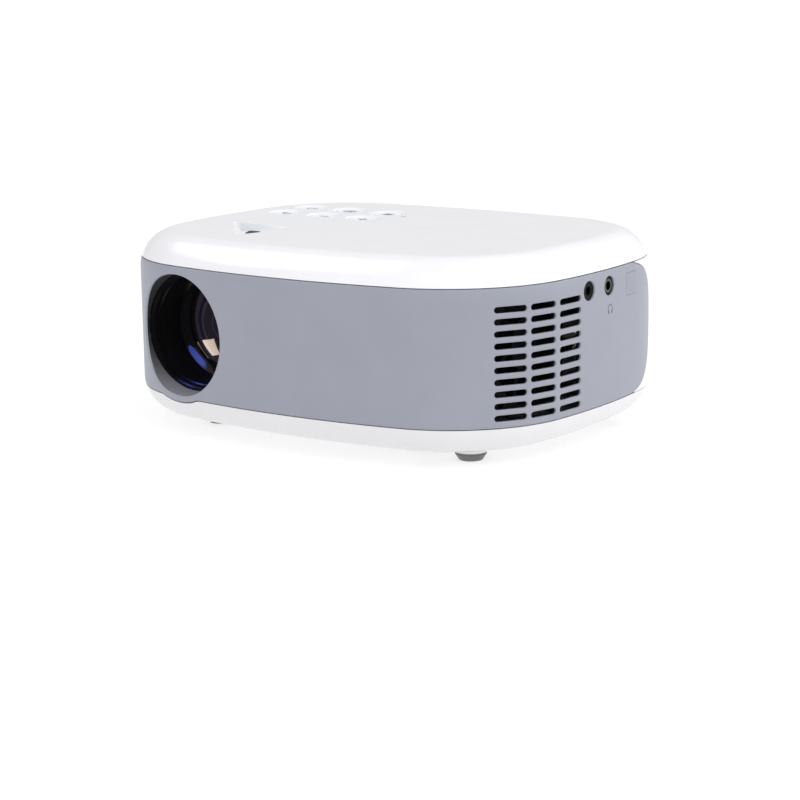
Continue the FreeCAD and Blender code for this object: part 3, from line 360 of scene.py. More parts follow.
def vent_slots(columns, place, first=0, rows=VENT_ROWS):
    """Round-ended slots in (u, z): rows of them in each column of the grille."""
    slots = []
    for ends in columns:
        low, high = sorted(place(end) for end in ends)
        for row in range(first, rows):
            z = VENT_FIRST + row * VENT_PITCH
            slots.append(RoundBox((low, z - VENT_HALF), (high, z + VENT_HALF), VENT_HALF))
    return slots


# ---------------------------------------------------------------- materials
def new_material(name):
    material = bpy.data.materials.new(name)
    material.use_nodes = True
    nodes = material.node_tree.nodes
    nodes.clear()
    output = nodes.new("ShaderNodeOutputMaterial")
    shader = nodes.new("ShaderNodeBsdfPrincipled")
    material.node_tree.links.new(shader.outputs[0], output.inputs[0])
    return material, shader


def link(material, source, target):
    material.node_tree.links.new(source, target)


def node(material, kind, **settings):
    made = material.node_tree.nodes.new(kind)
    for name, value in settings.items():
        setattr(made, name, value)
    return made


def noise(material, scale, detail=3.0, stretch=(1, 1, 1)):
    """Noise in the object's own space; scale is in waves per metre."""
    place = node(material, "ShaderNodeTexCoord")
    mapping = node(material, "ShaderNodeMapping")
    mapping.inputs["Scale"].default_value = stretch
    made = node(material, "ShaderNodeTexNoise")
    made.inputs["Scale"].default_value = scale
    made.inputs["Detail"].default_value = detail
    link(material, place.outputs["Object"], mapping.inputs["Vector"])
    link(material, mapping.outputs["Vector"], made.inputs["Vector"])
    return made.outputs["Fac"]


def ramp(material, value, stops):
    made = node(material, "ShaderNodeValToRGB")
    elements = made.color_ramp.elements
    while len(elements) < len(stops):
        elements.new(0.5)
    for element, (place, colour) in zip(elements, stops):
        element.position = place
        element.color = (*colour, 1.0)
    link(material, value, made.inputs["Fac"])
    return made.outputs["Color"]


def shade(colour, factor):
    return tuple(min(1.0, part * factor) for part in colour)


def finish_of(name, colour, rough, grain, bump, metal=0.0, coat=0.0, coat_rough=0.05, stretch=(1, 1, 1),
              contrast=0.04, rough_swing=0.06, sheen=0.0, gleam=0.5):
    """A moulded, rubber or metal finish: fine grain in the bump, slow drift in colour and gloss."""
    material, shader = new_material(name)
    drift = noise(material, 60.0, 2.0, stretch)
    fine = noise(material, grain, 4.0, stretch)
    tint = ramp(material, drift, ((0.3, shade(colour, 1 - contrast)), (0.7, shade(colour, 1 + contrast))))
    link(material, tint, shader.inputs["Base Color"])
    gloss = node(material, "ShaderNodeMapRange")
    gloss.inputs["To Min"].default_value = max(0.02, rough - rough_swing)
    gloss.inputs["To Max"].default_value = rough + rough_swing
    link(material, fine, gloss.inputs["Value"])
    link(material, gloss.outputs["Result"], shader.inputs["Roughness"])
    relief = node(material, "ShaderNodeBump")
    relief.inputs["Strength"].default_value = bump
    relief.inputs["Distance"].default_value = 0.05 * MM
    link(material, fine, relief.inputs["Height"])
    link(material, relief.outputs["Normal"], shader.inputs["Normal"])
    shader.inputs["Metallic"].default_value = metal
    shader.inputs["Coat Weight"].default_value = coat
    shader.inputs["Coat Roughness"].default_value = coat_rough
    shader.inputs["Sheen Weight"].default_value = sheen
    shader.inputs["Specular IOR Level"].default_value = gleam
    return material


def hood_painted_shade():
    """The hood's grey inside the lens opening, with painted shade: dark overhead and paler along its floor.
    """
    material = finish_of("hood_painted_shade", (0.2, 0.2, 0.2), 0.5, 5200, 0.2, gleam=0.3)
    place = node(material, "ShaderNodeTexCoord")
    apart = node(material, "ShaderNodeSeparateXYZ")
    link(material, place.outputs["Object"], apart.inputs[0])
    # painted shade: the colour darkens with height up the bore
    height = node(material, "ShaderNodeMapRange")
    height.inputs["From Min"].default_value = 16.0 * MM
    height.inputs["From Max"].default_value = 46.0 * MM
    link(material, apart.outputs["Z"], height.inputs["Value"])
    tint = ramp(material, height.outputs["Result"], ((0.0, (0.36, 0.355, 0.39)), (0.25, (0.2, 0.195, 0.22)),
                                                     (0.6, (0.08, 0.08, 0.09)), (1.0, (0.06, 0.06, 0.07))))
    shader = next(item for item in material.node_tree.nodes if item.type == "BSDF_PRINCIPLED")
    link(material, tint, shader.inputs["Base Color"])
    return material


def clear_of(name, colour, rough, transmission, ior=1.5):
    """A glass or clear plastic with a faint haze that drifts over it."""
    material, shader = new_material(name)
    tint = ramp(material, noise(material, 90.0), ((0.3, shade(colour, 0.97)), (0.7, colour)))
    link(material, tint, shader.inputs["Base Color"])
    gloss = node(material, "ShaderNodeMapRange")
    gloss.inputs["To Min"].default_value = rough
    gloss.inputs["To Max"].default_value = rough + 0.02
    link(material, noise(material, 400.0), gloss.inputs["Value"])
    link(material, gloss.outputs["Result"], shader.inputs["Roughness"])
    shader.inputs["Transmission Weight"].default_value = transmission
    shader.inputs["IOR"].default_value = ior
    return material


def lens_glass():
    """Coated front glass, coloured in rings round the lens axis: a painted violet-grey reflection of its
    coating outside, a dark heart, and painted glints on the rims of the elements behind it."""
    material, shader = new_material("lens_glass")
    place = node(material, "ShaderNodeTexCoord")
    apart = node(material, "ShaderNodeSeparateXYZ")
    link(material, place.outputs["Object"], apart.inputs[0])
    squares = []
    for axis, centre in (("X", LENS_X * MM), ("Z", LENS_Z * MM)):
        shift = node(material, "ShaderNodeMath", operation="SUBTRACT")
        shift.inputs[1].default_value = centre
        link(material, apart.outputs[axis], shift.inputs[0])
        square = node(material, "ShaderNodeMath", operation="POWER")
        square.inputs[1].default_value = 2.0
        link(material, shift.outputs[0], square.inputs[0])
        squares.append(square.outputs[0])
    total = node(material, "ShaderNodeMath", operation="ADD")
    link(material, squares[0], total.inputs[0])
    link(material, squares[1], total.inputs[1])
    radius = node(material, "ShaderNodeMath", operation="SQRT")
    link(material, total.outputs[0], radius.inputs[0])
    share = node(material, "ShaderNodeMath", operation="DIVIDE")
    share.inputs[1].default_value = 20.3 * MM
    link(material, radius.outputs[0], share.inputs[0])
    # painted reflection: the outer violet-grey and the lighter ring are glints painted into the base colour
    coating_reflection, dark, ring = (0.085, 0.07, 0.095), (0.016, 0.014, 0.022), (0.12, 0.10, 0.11)
    tint = ramp(material, share.outputs[0], (
        (0.0, dark), (0.30, (0.03, 0.026, 0.036)), (0.335, (0.07, 0.06, 0.07)), (0.37, (0.03, 0.026, 0.036)),
        (0.60, (0.04, 0.034, 0.048)), (0.655, ring), (0.70, (0.045, 0.038, 0.055)), (0.78, dark),
        (0.80, coating_reflection), (0.97, shade(coating_reflection, 1.25)), (1.0, (0.02, 0.018, 0.02))))
    link(material, tint, shader.inputs["Base Color"])
    shader.inputs["Roughness"].default_value = 0.12
    shader.inputs["IOR"].default_value = 1.6
    shader.inputs["Specular Tint"].default_value = (0.86, 0.8, 1.0, 1.0)
    shader.inputs["Coat Weight"].default_value = 1.0
    shader.inputs["Coat Roughness"].default_value = 0.02
    shader.inputs["Coat Tint"].default_value = (0.9, 0.86, 1.0, 1.0)
    relief = node(material, "ShaderNodeBump")
    relief.inputs["Strength"].default_value = 0.02
    relief.inputs["Distance"].default_value = 0.02 * MM
    link(material, noise(material, 300.0), relief.inputs["Height"])
    link(material, relief.outputs["Normal"], shader.inputs["Normal"])
    return material


MATERIALS = {
    "shell_white": finish_of("shell_white", (0.80, 0.80, 0.835), 0.24, 2600, 0.05, coat=0.35,
                             contrast=0.012, rough_swing=0.03),
    # the tray: the shell white made darker as painted shade for its downward-facing faces, with a softer coat
    "tray_white_painted_shade": finish_of("tray_white_painted_shade", (0.725, 0.72, 0.74), 0.28, 2600, 0.05, coat=0.2, contrast=0.012,
                            rough_swing=0.03),
    # the dish: a duller gloss than the lid, and a darker white that is painted shade in the recess
    "dish_matte_painted_shade": finish_of("dish_matte_painted_shade", (0.70, 0.715, 0.745), 0.5, 3400, 0.1, contrast=0.012),
    "band_grey": finish_of("band_grey", (0.283, 0.297, 0.35), 0.42, 5200, 0.22, contrast=0.02),
    "hood_painted_shade": hood_painted_shade(),
    "lens_black": finish_of("lens_black", (0.004, 0.004, 0.005), 0.26, 4200, 0.15, contrast=0.2, gleam=0.25),
    "lens_glass": lens_glass(),
    "steel": finish_of("steel", (0.55, 0.55, 0.56), 0.28, 3000, 0.2, metal=1.0, stretch=(1, 1, 0.1)),
    "wheel_black": finish_of("wheel_black", (0.012, 0.012, 0.013), 0.5, 4500, 0.3, contrast=0.2),
    "circuit_board": finish_of("circuit_board", (0.006, 0.02, 0.011), 0.45, 1500, 0.3, coat=0.1,
                               contrast=0.25),
    "inner_black": finish_of("inner_black", (0.01, 0.01, 0.011), 0.6, 3800, 0.3, contrast=0.15, gleam=0.2),
    "light_pipe": clear_of("light_pipe", (0.35, 0.38, 0.42), 0.3, 0.4),
    "lens_sheet": clear_of("lens_sheet", (0.9, 0.93, 0.95), 0.08, 0.95),
    "panel_glass": clear_of("panel_glass", (0.22, 0.24, 0.27), 0.03, 0.6),
    "led_plate": finish_of("led_plate", (0.75, 0.75, 0.73), 0.3, 2500, 0.2, metal=1.0),
    "heatsink_aluminium": finish_of("heatsink_aluminium", (0.62, 0.62, 0.64), 0.34, 1800, 0.3, metal=1.0,
                                    stretch=(1, 1, 0.08)),
    "transformer_iron": finish_of("transformer_iron", (0.12, 0.1, 0.08), 0.4, 1200, 0.5, coat=0.5,
                                  contrast=0.3, stretch=(0.1, 1, 1)),
    "jack_black": finish_of("jack_black", (0.004, 0.004, 0.005), 0.34, 4000, 0.12, contrast=0.15, gleam=0.06),
    "contact_metal": finish_of("contact_metal", (0.1, 0.098, 0.095), 0.3, 2500, 0.1, metal=1.0),
    "window_grey": finish_of("window_grey", (0.235, 0.25, 0.30), 0.2, 2500, 0.03, coat=0.2,
                             contrast=0.02),
    "socket_steel": finish_of("socket_steel", (0.6, 0.6, 0.61), 0.26, 2600, 0.15, metal=1.0),
    "speaker_paper": finish_of("speaker_paper", (0.03, 0.03, 0.03), 0.85, 1800, 0.8, contrast=0.3),
    "filter_foam": finish_of("filter_foam", (0.03, 0.03, 0.032), 0.95, 900, 1.0, contrast=0.4),
    "foot_rubber": finish_of("foot_rubber", (0.13, 0.128, 0.13), 0.75, 2400, 0.5, contrast=0.12,
                             sheen=0.3),
    "insert_brass": finish_of("insert_brass", (0.62, 0.45, 0.18), 0.3, 2400, 0.2, metal=1.0,
                              stretch=(1, 1, 0.1)),
    "key_white": finish_of("key_white", (0.80, 0.85, 0.93), 0.3, 2600, 0.06, coat=0.3, contrast=0.012,
                           rough_swing=0.03),
    "print_grey": finish_of("print_grey", (0.10, 0.115, 0.14), 0.6, 5000, 0.15, contrast=0.08),
}
for cad_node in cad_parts.values():
    for holder in cad_node.material_slots:
        holder.material = MATERIALS[holder.material.name.split(".")[0]]


# ---------------------------------------------------------------- wrap band with its lens hood
LIP_RADIUS = HOOD_BORE + HOOD_WALL
U_END = u_at_y(1, BAND_END_Y)


class HoodHole:
    """The round lens opening, a circle seen along Y, in the band's (u, z)."""

    def loop(self, grow):
        points = []
        for step in range(144):
            angle = 2 * math.pi * step / 144
            reach = HOOD_BORE + grow
            points.append(Vector((u_at_front(LENS_X + reach * math.cos(angle)),
                                  LENS_Z + reach * math.sin(angle))))
        return points

    def gap(self, point):
        return math.hypot(outline(point.x).x - LENS_X, point.y - LENS_Z) - HOOD_BORE


def band_low_edge(u, grow):
    """The band's lower edge, which dips in an arc under the lens."""
    level = BAND_LOW + SEAM / 2 + grow
    across = outline(u).x - LENS_X
    reach = LIP_RADIUS - grow
    if abs(u) < U_SIDE and abs(across) < reach:
        level = min(level, LENS_Z - math.sqrt(reach ** 2 - across ** 2))
    return level


def band_end(side, grow, steps=40):
    """The half-round rear end of the band on one side, from its foot to its head."""
    reach = BAND_END_RADIUS - grow
    points = []
    for step in range(1, steps):
        angle = math.pi * (step / steps - 0.5)
        points.append(Vector((u_at_y(side, BAND_END_Y + reach * math.cos(angle)),
                              BAND_MIDDLE + reach * math.sin(angle))))
    return points


def band_edge(grow):
    places = spread(-U_END, U_END, GRID_PITCH)
    foot = [Vector((u, band_low_edge(u, grow))) for u in places]
    head = [Vector((u, BAND_HIGH - SEAM / 2 - grow)) for u in reversed(places)]
    return foot + band_end(1, grow) + head + list(reversed(band_end(-1, grow)))


def inside_band(point):
    u, z = point
    if not band_low_edge(u, 0.3) < z < BAND_HIGH - SEAM / 2 - 0.3:
        return False
    y = outline(u).y
    return y < BAND_END_Y or math.hypot(y - BAND_END_Y, z - BAND_MIDDLE) < BAND_END_RADIUS - 0.3


def make_band():
    build = Build()
    hood = HoodHole()
    holes = vent_slots(OUTLET_COLUMNS, lambda y: u_at_y(1, y))
    holes += vent_slots(INTAKE_COLUMNS, lambda y: u_at_y(-1, y))
    holes += [disc(u_at_y(1, y), JACK_Z, JACK_HOLE) for y in (AV_Y, HEADPHONE_Y)]
    # the vent and jack walls go black below a set depth: painted shade inside the openings
    loops = [rolled_edge(build, hole.loop, wall_point, 0.25, WALL, VENT_SHADE_DEPTH) for hole in holes]
    window = WINDOW_SIDE / 2
    window_u = u_at_y(1, WINDOW_Y)
    holes.append(RoundBox((window_u - window, WINDOW_Z - window), (window_u + window, WINDOW_Z + window),
                          0.5))
    loops.append(rolled_edge(build, holes[-1].loop, wall_point, 0.1, WALL))
    loops.append(rolled_edge(build, band_edge, wall_point, SHELL_EDGE, WALL))

    # the hood's rolled front edge, its bore along Y, and its back end behind the wall
    edge, inner_wall = 0.7, 1.2
    rings = []
    for step in range(5):
        turn = math.pi / 2 * step / 4
        deep, grow = edge * (1 - math.cos(turn)), edge * (1 - math.sin(turn))
        rings.append(build.add([wall_point(point, deep) for point in hood.loop(grow)]))
    build.strips(rings)
    first = rings[0]
    rings = rings[-1:]
    start = len(build.faces)
    mouth = hood.loop(0)
    for y, reach in ((HOOD_END_Y, HOOD_BORE), (HOOD_END_Y, HOOD_BORE + inner_wall)):
        ring = []
        for step in range(len(mouth)):
            angle = 2 * math.pi * step / len(mouth)
            ring.append((LENS_X + reach * math.cos(angle), y, LENS_Z + reach * math.sin(angle)))
        rings.append(build.add(ring))
    rings.append(build.add([wall_point(point, WALL) for point in hood.loop(inner_wall)]))
    build.strips(rings)
    # the bore takes the hood's grey with painted shade, dark overhead and paler below
    build.tint(start, 2)
    loops.append((hood.loop(edge), first, rings[-1]))
    holes.append(hood)

    points = lattice(spread(-U_END - 40, U_END + 40, GRID_PITCH), MESH_ROWS,
                     lambda point: inside_band(point) and all(hole.gap(point) > 0.9 for hole in holes)
                     and not 0 < hood.gap(point) < 2.0)
    build.fill(loops, points, lambda point: wall_point(point, 0), lambda point: wall_point(point, WALL))
    return make("wrap_band_shell", build, ("band_grey", "inner_black", "hood_painted_shade"),
                nodes=("wrap_band", "lens_hood"))


make_band()


# ---------------------------------------------------------------- rear cover
def cover_end(side, grow, tip=0.35, steps=44):
    """The hollow round edge that meets the band's end on one side, from foot to head."""
    reach = BAND_END_RADIUS + SEAM + grow
    top = BAND_END_RADIUS - tip - grow
    far = math.asin(top / reach)
    points = []
    for step in range(steps + 1):
        angle = far * (2 * step / steps - 1)
        u = u_at_y(1, BAND_END_Y + reach * math.cos(angle))
        points.append(Vector((u if side > 0 else 2 * HALF - u, BAND_MIDDLE + reach * math.sin(angle))))
    return points


def cover_edge(grow):
    right, left = cover_end(1, grow), cover_end(-1, grow)
    low, high = BAND_LOW + SEAM / 2 + grow, BAND_HIGH - SEAM / 2 - grow
    places = spread(0, 1, 1 / 130)
    foot = [Vector((left[0].x * part + right[0].x * (1 - part), low)) for part in places]
    head = [Vector((right[-1].x * part + left[-1].x * (1 - part), high)) for part in places]
    return foot + left + head + list(reversed(right))


def inside_cover(point):
    u, z = point
    if not BAND_LOW + 0.3 < z < BAND_HIGH - 0.3:
        return False
    y = outline(u).y
    return y > BAND_END_Y and math.hypot(y - BAND_END_Y, z - BAND_MIDDLE) > BAND_END_RADIUS + SEAM + 0.1


def back_box(x, half, low, high, corner=0.5):
    left, right = u_at_back(x + half), u_at_back(x - half)
    return RoundBox((left, low), (right, high), corner, 3)


def make_rear_cover():
    build = Build()
    holes = vent_slots(HEAT_COLUMNS, u_at_back) + vent_slots(SPEAKER_COLUMNS, u_at_back, first=4)
    holes += [back_box(20, 8.1, 21.3, 27.7), back_box(42, 7.2, 21.3, 28.5), back_box(60, 7.2, 21.3, 28.5),
              back_box(-6, 10.3, 26.7, 39.3, 0.8)]
    loops = [rolled_edge(build, hole.loop, wall_point, 0.3, WALL) for hole in holes]
    loops.append(rolled_edge(build, cover_edge, wall_point, 0.12, WALL))
    points = lattice(spread(U_END, 2 * HALF - U_END, GRID_PITCH), MESH_ROWS,
                     lambda point: inside_cover(point) and all(hole.gap(point) > 0.9 for hole in holes))
    build.fill(loops, points, lambda point: wall_point(point, 0), lambda point: wall_point(point, WALL))
    return make("rear_cover_shell", build, ("shell_white",), nodes=("rear_cover",))


make_rear_cover()


# ---------------------------------------------------------------- upper shell
def soft_step(share, rounding=0.12):
    """Climbs from 0 to 1 in a straight slope with both ends rounded."""
    share = min(1.0, max(0.0, share))
    if share < rounding:
        rise = share ** 2 / (2 * rounding)
    elif share > 1 - rounding:
        rise = 1 - rounding - (1 - share) ** 2 / (2 * rounding)
    else:
        rise = share - rounding / 2
    return rise / (1 - rounding)


def inside_of(point, start, end):
    """Distance of a plan point to the left of the line from start to end."""
    along = (end - start).normalized()
    away = point - start
    return along.x * away.y - along.y * away.x


DISH_SIDES = ((DISH_RIGHT, DISH_LEFT, 1.3), (DISH_LEFT, DISH_TIP, 4.2), (DISH_TIP, DISH_RIGHT, 3.0))


def dish_drop(point):
    """How far the scooped dish lies below the top, at a plan point."""
    drop = DISH_DEPTH * (DISH_RIGHT.x - point.x) / (DISH_RIGHT.x - DISH_LEFT.x)
    for start, end, run in DISH_SIDES:
        drop *= soft_step(inside_of(point, start, end) / run)
    return max(0.0, drop)


def dish_points():
    """Plan points for the dish: rows along each side where it curves, and an even net between."""
    points = []
    for start, end, run in DISH_SIDES:
        along = (end - start).normalized()
        across = Vector((-along.y, along.x))
        length = (end - start).length
        for share in (-0.15, 0.0, 0.06, 0.12, 0.3, 0.5, 0.7, 0.88, 0.94, 1.0, 1.15):
            for step in spread(-0.5, length + 0.5, 0.8):
                points.append(start + along * step + across * run * share)
    points += lattice(spread(DISH_LEFT.x, DISH_RIGHT.x, 1.1), spread(DISH_TIP.y, DISH_LEFT.y, 1.1),
                      lambda point: min(inside_of(point, a, b) - run for a, b, run in DISH_SIDES) > 0.6)
    return points


def make_upper_shell():
    build = Build()
    first = math.asin((BAND_HIGH + SEAM / 2 - TOP + HIGH_ROUND) / HIGH_ROUND)
    edge = SHELL_EDGE

    def fillet(lift, deep=0.0):
        radius = HIGH_ROUND - deep
        inset = HIGH_ROUND - radius * math.cos(lift)
        height = TOP - HIGH_ROUND + radius * math.sin(lift)
        return [(*outline(u, inset), height) for u in RING_PLACES]

    foot = BAND_HIGH + SEAM / 2
    foot_inset = HIGH_ROUND * (1 - math.cos(first))
    rings = []
    inner_first = math.acos((HIGH_ROUND - LIP_INSET - LIP_WALL) / (HIGH_ROUND - WALL))
    for lift in reversed([inner_first + (math.pi / 2 - inner_first) * i / 8 for i in range(9)]):
        rings.append(build.add(fillet(lift, WALL)))
    inner_ring = rings[0]
    # the locating lip that hangs inside the band, so that the seam can't be seen through
    for inset, height in ((LIP_INSET + LIP_WALL, foot - LIP_DROP), (LIP_INSET, foot - LIP_DROP),
                          (LIP_INSET, foot), (foot_inset + edge, foot)):
        rings.append(build.add([(*outline(u, inset), height) for u in RING_PLACES]))
    for share in (0.3, 0.7):
        rings.append(build.add([(*outline(u, foot_inset + edge * (1 - share) ** 2 * 0.9),
                                 foot + edge * share ** 2 * 0.9) for u in RING_PLACES]))
    start = first + edge / HIGH_ROUND
    steps = 16
    for i in range(steps + 1):
        rings.append(build.add(fillet(start + (math.pi / 2 - start) * i / steps)))
    build.strips(rings)
    cap = [outline(u, HIGH_ROUND) for u in RING_PLACES]

    loops = [(cap, rings[-1], inner_ring)]
    holes = []
    for centre in KEYS.values():
        well = disc(centre.x, centre.y, 8.4, 16)
        holes.append(well)
        rings = []
        for radius, drop in ((8.4, 0.0), (8.25, 0.015), (8.05, 0.08), (7.75, 0.2), (7.2, 0.42), (6.7, 0.58),
                             (6.3, 0.66), (6.05, 0.7), (5.92, 0.74), (5.86, 0.86), (5.85, WALL + 0.8)):
            rings.append(build.add([(*point, TOP - drop) for point in well.loop(radius - 8.4)]))
        build.strips(rings)
        loops.append((well.loop(0), rings[0], rings[-1]))
    spot = disc(LIGHT_SPOT.x, LIGHT_SPOT.y, LIGHT_RADIUS, 6)
    holes.append(spot)
    loops.append(rolled_edge(build, spot.loop, lambda point, deep: (*point, TOP - deep), 0.15, WALL + 0.8))

    # the slot that the thumbwheel stands in, with its edge rolled over into the dish's floor
    half_x = WHEEL_WIDTH / 2 + 0.4
    floor_drop = dish_drop(Vector((WHEEL_X, WHEEL_Y)))
    half_y = math.sqrt((WHEEL_RADIUS + 0.35) ** 2 - (TOP - floor_drop - WHEEL_Z) ** 2)
    slot = RoundBox((WHEEL_X - half_x, WHEEL_Y - half_y), (WHEEL_X + half_x, WHEEL_Y + half_y), 0.3, 3)
    holes.append(slot)
    loops.append(rolled_edge(build, slot.loop,
                             lambda point, deep: (*point, TOP - dish_drop(point) - deep), 0.3, 1.5))

    def clear(point):
        return inset_of(point) > HIGH_ROUND + 1.0 and all(hole.gap(point) > 0.5 for hole in holes)

    def in_dish(point):
        return min(inside_of(point, a, b) + 0.9 for a, b, _ in DISH_SIDES) > 0

    points = lattice(spread(-WIDTH / 2, WIDTH / 2, 5.0), spread(-DEPTH / 2, DEPTH / 2, 5.0),
                     lambda point: (inset_of(point) or 0) > HIGH_ROUND + 2.0 and clear(point)
                     and not in_dish(point))
    points += [point for point in dish_points() if clear(point)]
    start = len(build.faces)
    build.fill(loops, points,
               lambda point: (*point, TOP - dish_drop(point)),
               lambda point: (*point, TOP - WALL - dish_drop(point)))
    # faces sunk into the dish take the second material, whose darker white is painted shade
    for face in range(start, len(build.faces)):
        corners = [build.points[i].to_2d() for i in build.faces[face]]
        if dish_drop(sum(corners, Vector((0, 0))) / len(corners)) > DISH_SHADE_BELOW:
            build.tints[face] = 1
    return make("upper_shell_lid", build, ("shell_white", "dish_matte_painted_shade"), nodes=("upper_shell",))


make_upper_shell()


# ---------------------------------------------------------------- lower shell
UNDER_REACH = 8.0


def under_height(point, deep=0.0):
    """Height of the tray's underside at a plan point: flat, and curving up near the outline."""
    inset = inset_of(point)
    radius = LOW_ROUND - deep
    if inset >= LOW_ROUND:
        return UNDER + deep
    return UNDER + LOW_ROUND - math.sqrt(radius ** 2 - (LOW_ROUND - inset) ** 2)


def make_lower_shell():
    build = Build()
    middle = UNDER + LOW_ROUND
    edge = SHELL_EDGE

    def rim_height(u):
        """The tray's top edge, notched round the hood's lip."""
        across = outline(u).x - LENS_X
        reach = LIP_RADIUS + SEAM
        level = BAND_LOW - SEAM / 2
        if abs(u) < U_SIDE and abs(across) < reach:
            level = min(level, LENS_Z - math.sqrt(reach ** 2 - across ** 2))
        return level

    last = math.acos((LOW_ROUND - UNDER_REACH) / LOW_ROUND)
    outer, inner = [], []
    for share in spread(0, 1, 0.1):
        ring, ring_in = [], []
        for u in RING_PLACES:
            start = math.asin((middle - rim_height(u) + edge) / LOW_ROUND)
            angle = start + (last - start) * share
            ring.append((*outline(u, LOW_ROUND * (1 - math.cos(angle))),
                         middle - LOW_ROUND * math.sin(angle)))
            start = math.asin((middle - rim_height(u)) / (LOW_ROUND - WALL))
            angle = start + (last - start) * share
            ring_in.append((*outline(u, LOW_ROUND - (LOW_ROUND - WALL) * math.cos(angle)),
                            middle - (LOW_ROUND - WALL) * math.sin(angle)))
        outer.append(ring)
        inner.append(ring_in)
    corner = []
    for share in (0.0, 0.5):
        ring = []
        for u in RING_PLACES:
            top = rim_height(u)
            inset = LOW_ROUND * (1 - math.cos(math.asin((middle - top) / LOW_ROUND)))
            ring.append((*outline(u, inset + edge * (1 - share) ** 2), top - edge * share ** 2))
        corner.append(ring)
    rings = [build.add(ring) for ring in reversed(inner)] + [build.add(ring) for ring in corner]
    rings += [build.add(ring) for ring in outer]
    build.strips(rings)

    floor = [outline(u, UNDER_REACH) for u in RING_PLACES]
    loops = [(floor, rings[-1], rings[0])]
    holes = []

    def under(point, deep):
        return (*point, under_height(point) + deep)

    for number in range(7):
        x = 14 + 6 * number
        slot = RoundBox((x, -46), (x + 3, -14), 1.5)
        holes.append(slot)
        loops.append(rolled_edge(build, slot.loop, under, 0.3, WALL))
    insert = disc(0, 0, 4.75, 10)
    holes.append(insert)
    loops.append(rolled_edge(build, insert.loop, under, 0.3, WALL))
    for spot in FEET:
        boss = disc(spot.x, spot.y, 8.6, 12)
        holes.append(boss)
        rings = [build.add([(*point, z) for point in boss.loop(radius - 8.6)])
                 for radius, z in ((8.6, UNDER), (8.2, 4.93), (7.9, 4.72), (6.6, 3.42), (6.45, 3.26),
                                   (6.2, 3.2), (1.85, 3.2), (1.85, UNDER + WALL))]
        build.strips(rings)
        loops.append((boss.loop(0), rings[0], rings[-1]))
    for spot in POSTS:
        hole = disc(spot.x, spot.y, 3.2, 8)
        holes.append(hole)
        ledge = 15.0
        loop, top, wall_foot = rolled_edge(build, hole.loop, lambda point, deep: (*point, max(
            under_height(point) + deep, ledge if deep > 2 else 0)), 0.3, WALL + 0.5)
        rings = [wall_foot, build.add([(*point, ledge) for point in hole.loop(-1.9)]),
                 build.add([(*point, ledge + 1.5) for point in hole.loop(-1.9)]),
                 build.add([(*point, ledge + 1.5) for point in hole.loop(1.2)])]
        rings.append(build.add([(*point, under_height(point, WALL)) for point in hole.loop(1.2)]))
        build.strips(rings)
        loops.append((loop, top, rings[-1]))

    def clear(point):
        return (inset_of(point) or 0) > UNDER_REACH + 0.8 and all(hole.gap(point) > 1.6 for hole in holes)

    points = lattice(spread(-WIDTH / 2, WIDTH / 2, 2.5), spread(-DEPTH / 2, DEPTH / 2, 2.5), clear)
    build.fill(loops, points,
               lambda point: (*point, under_height(point)),
               lambda point: (*point, under_height(point, WALL)))
    return make("lower_shell_tray", build, ("tray_white_painted_shade",), nodes=("lower_shell",))


make_lower_shell()


# ---------------------------------------------------------------- keys and their printed symbols
KEY_TOP = TOP - 0.4


def key_height(distance):
    """The dished top of a key at a distance from its middle."""
    return KEY_TOP - 0.28 * (1 - (distance / KEY_RADIUS) ** 2)


def make_key(name, centre):
    build = Build()
    profile = [(0, key_height(0))] + [(r, key_height(r)) for r in (1.4, 2.8, 4.0, 4.8, 5.15)]
    profile += [(5.38, KEY_TOP - 0.05), (5.53, KEY_TOP - 0.16), (KEY_RADIUS, KEY_TOP - 0.35),
                (KEY_RADIUS, 76.4), (6.7, 76.3), (6.7, 75.3), (1.6, 75.3), (1.6, 74.9), (0, 74.9)]
    build.lathe(lambda r, z, a: (centre.x + r * math.cos(a), centre.y + r * math.sin(a), z), profile, 72)
    return make(f"{name}_key_cap", build, ("key_white",), body=f"{name}_key", nodes=(f"{name}_key",))


def stroke(points, width, closed=False):
    """A flat line of even width as a list of quads."""
    quads = []
    count = len(points)
    for i in range(count if closed else count - 1):
        a, b = Vector(points[i]), Vector(points[(i + 1) % count])
        side = (b - a).normalized() * width / 2
        side = Vector((-side.y, side.x))
        quads.append((a + side, a - side, b - side, b + side))
    return quads


def arc(radius, start, end, steps=20, centre=(0, 0)):
    return [(centre[0] + radius * math.cos(math.radians(start + (end - start) * i / steps)),
             centre[1] + radius * math.sin(math.radians(start + (end - start) * i / steps)))
            for i in range(steps + 1)]


SYMBOLS = {
    "power": stroke(arc(1.7, 125, 415), 0.42) + stroke([(0, 0.5), (0, 2.1)], 0.42),
    "source": stroke([(-1.9, -1.3), (1.9, -1.3), (1.9, 1.3), (-1.9, 1.3)], 0.4, True)
              + stroke([(-0.9, 0), (0.7, 0)], 0.4) + stroke([(0.1, 0.6), (0.75, 0), (0.1, -0.6)], 0.4),
    "menu": stroke([(-1.8, 1.2), (1.8, 1.2)], 0.44) + stroke([(-1.8, 0), (1.8, 0)], 0.44)
            + stroke([(-1.8, -1.2), (1.8, -1.2)], 0.44),
    "back": stroke([(-0.8, 1.7), (-1.9, 0.7), (-0.8, -0.3)], 0.42) + stroke([(-1.9, 0.7), (0.8, 0.7)], 0.42)
            + stroke(arc(1.1, 90, -90, centre=(0.8, -0.4)), 0.42) + stroke([(0.8, -1.5), (-0.8, -1.5)], 0.42),
    "minus": stroke([(-1.8, 0), (1.8, 0)], 0.5),
    "plus": stroke([(-1.8, 0), (1.8, 0)], 0.5) + stroke([(0, -1.8), (0, -0.25)], 0.5)
            + stroke([(0, 0.25), (0, 1.8)], 0.5),
}


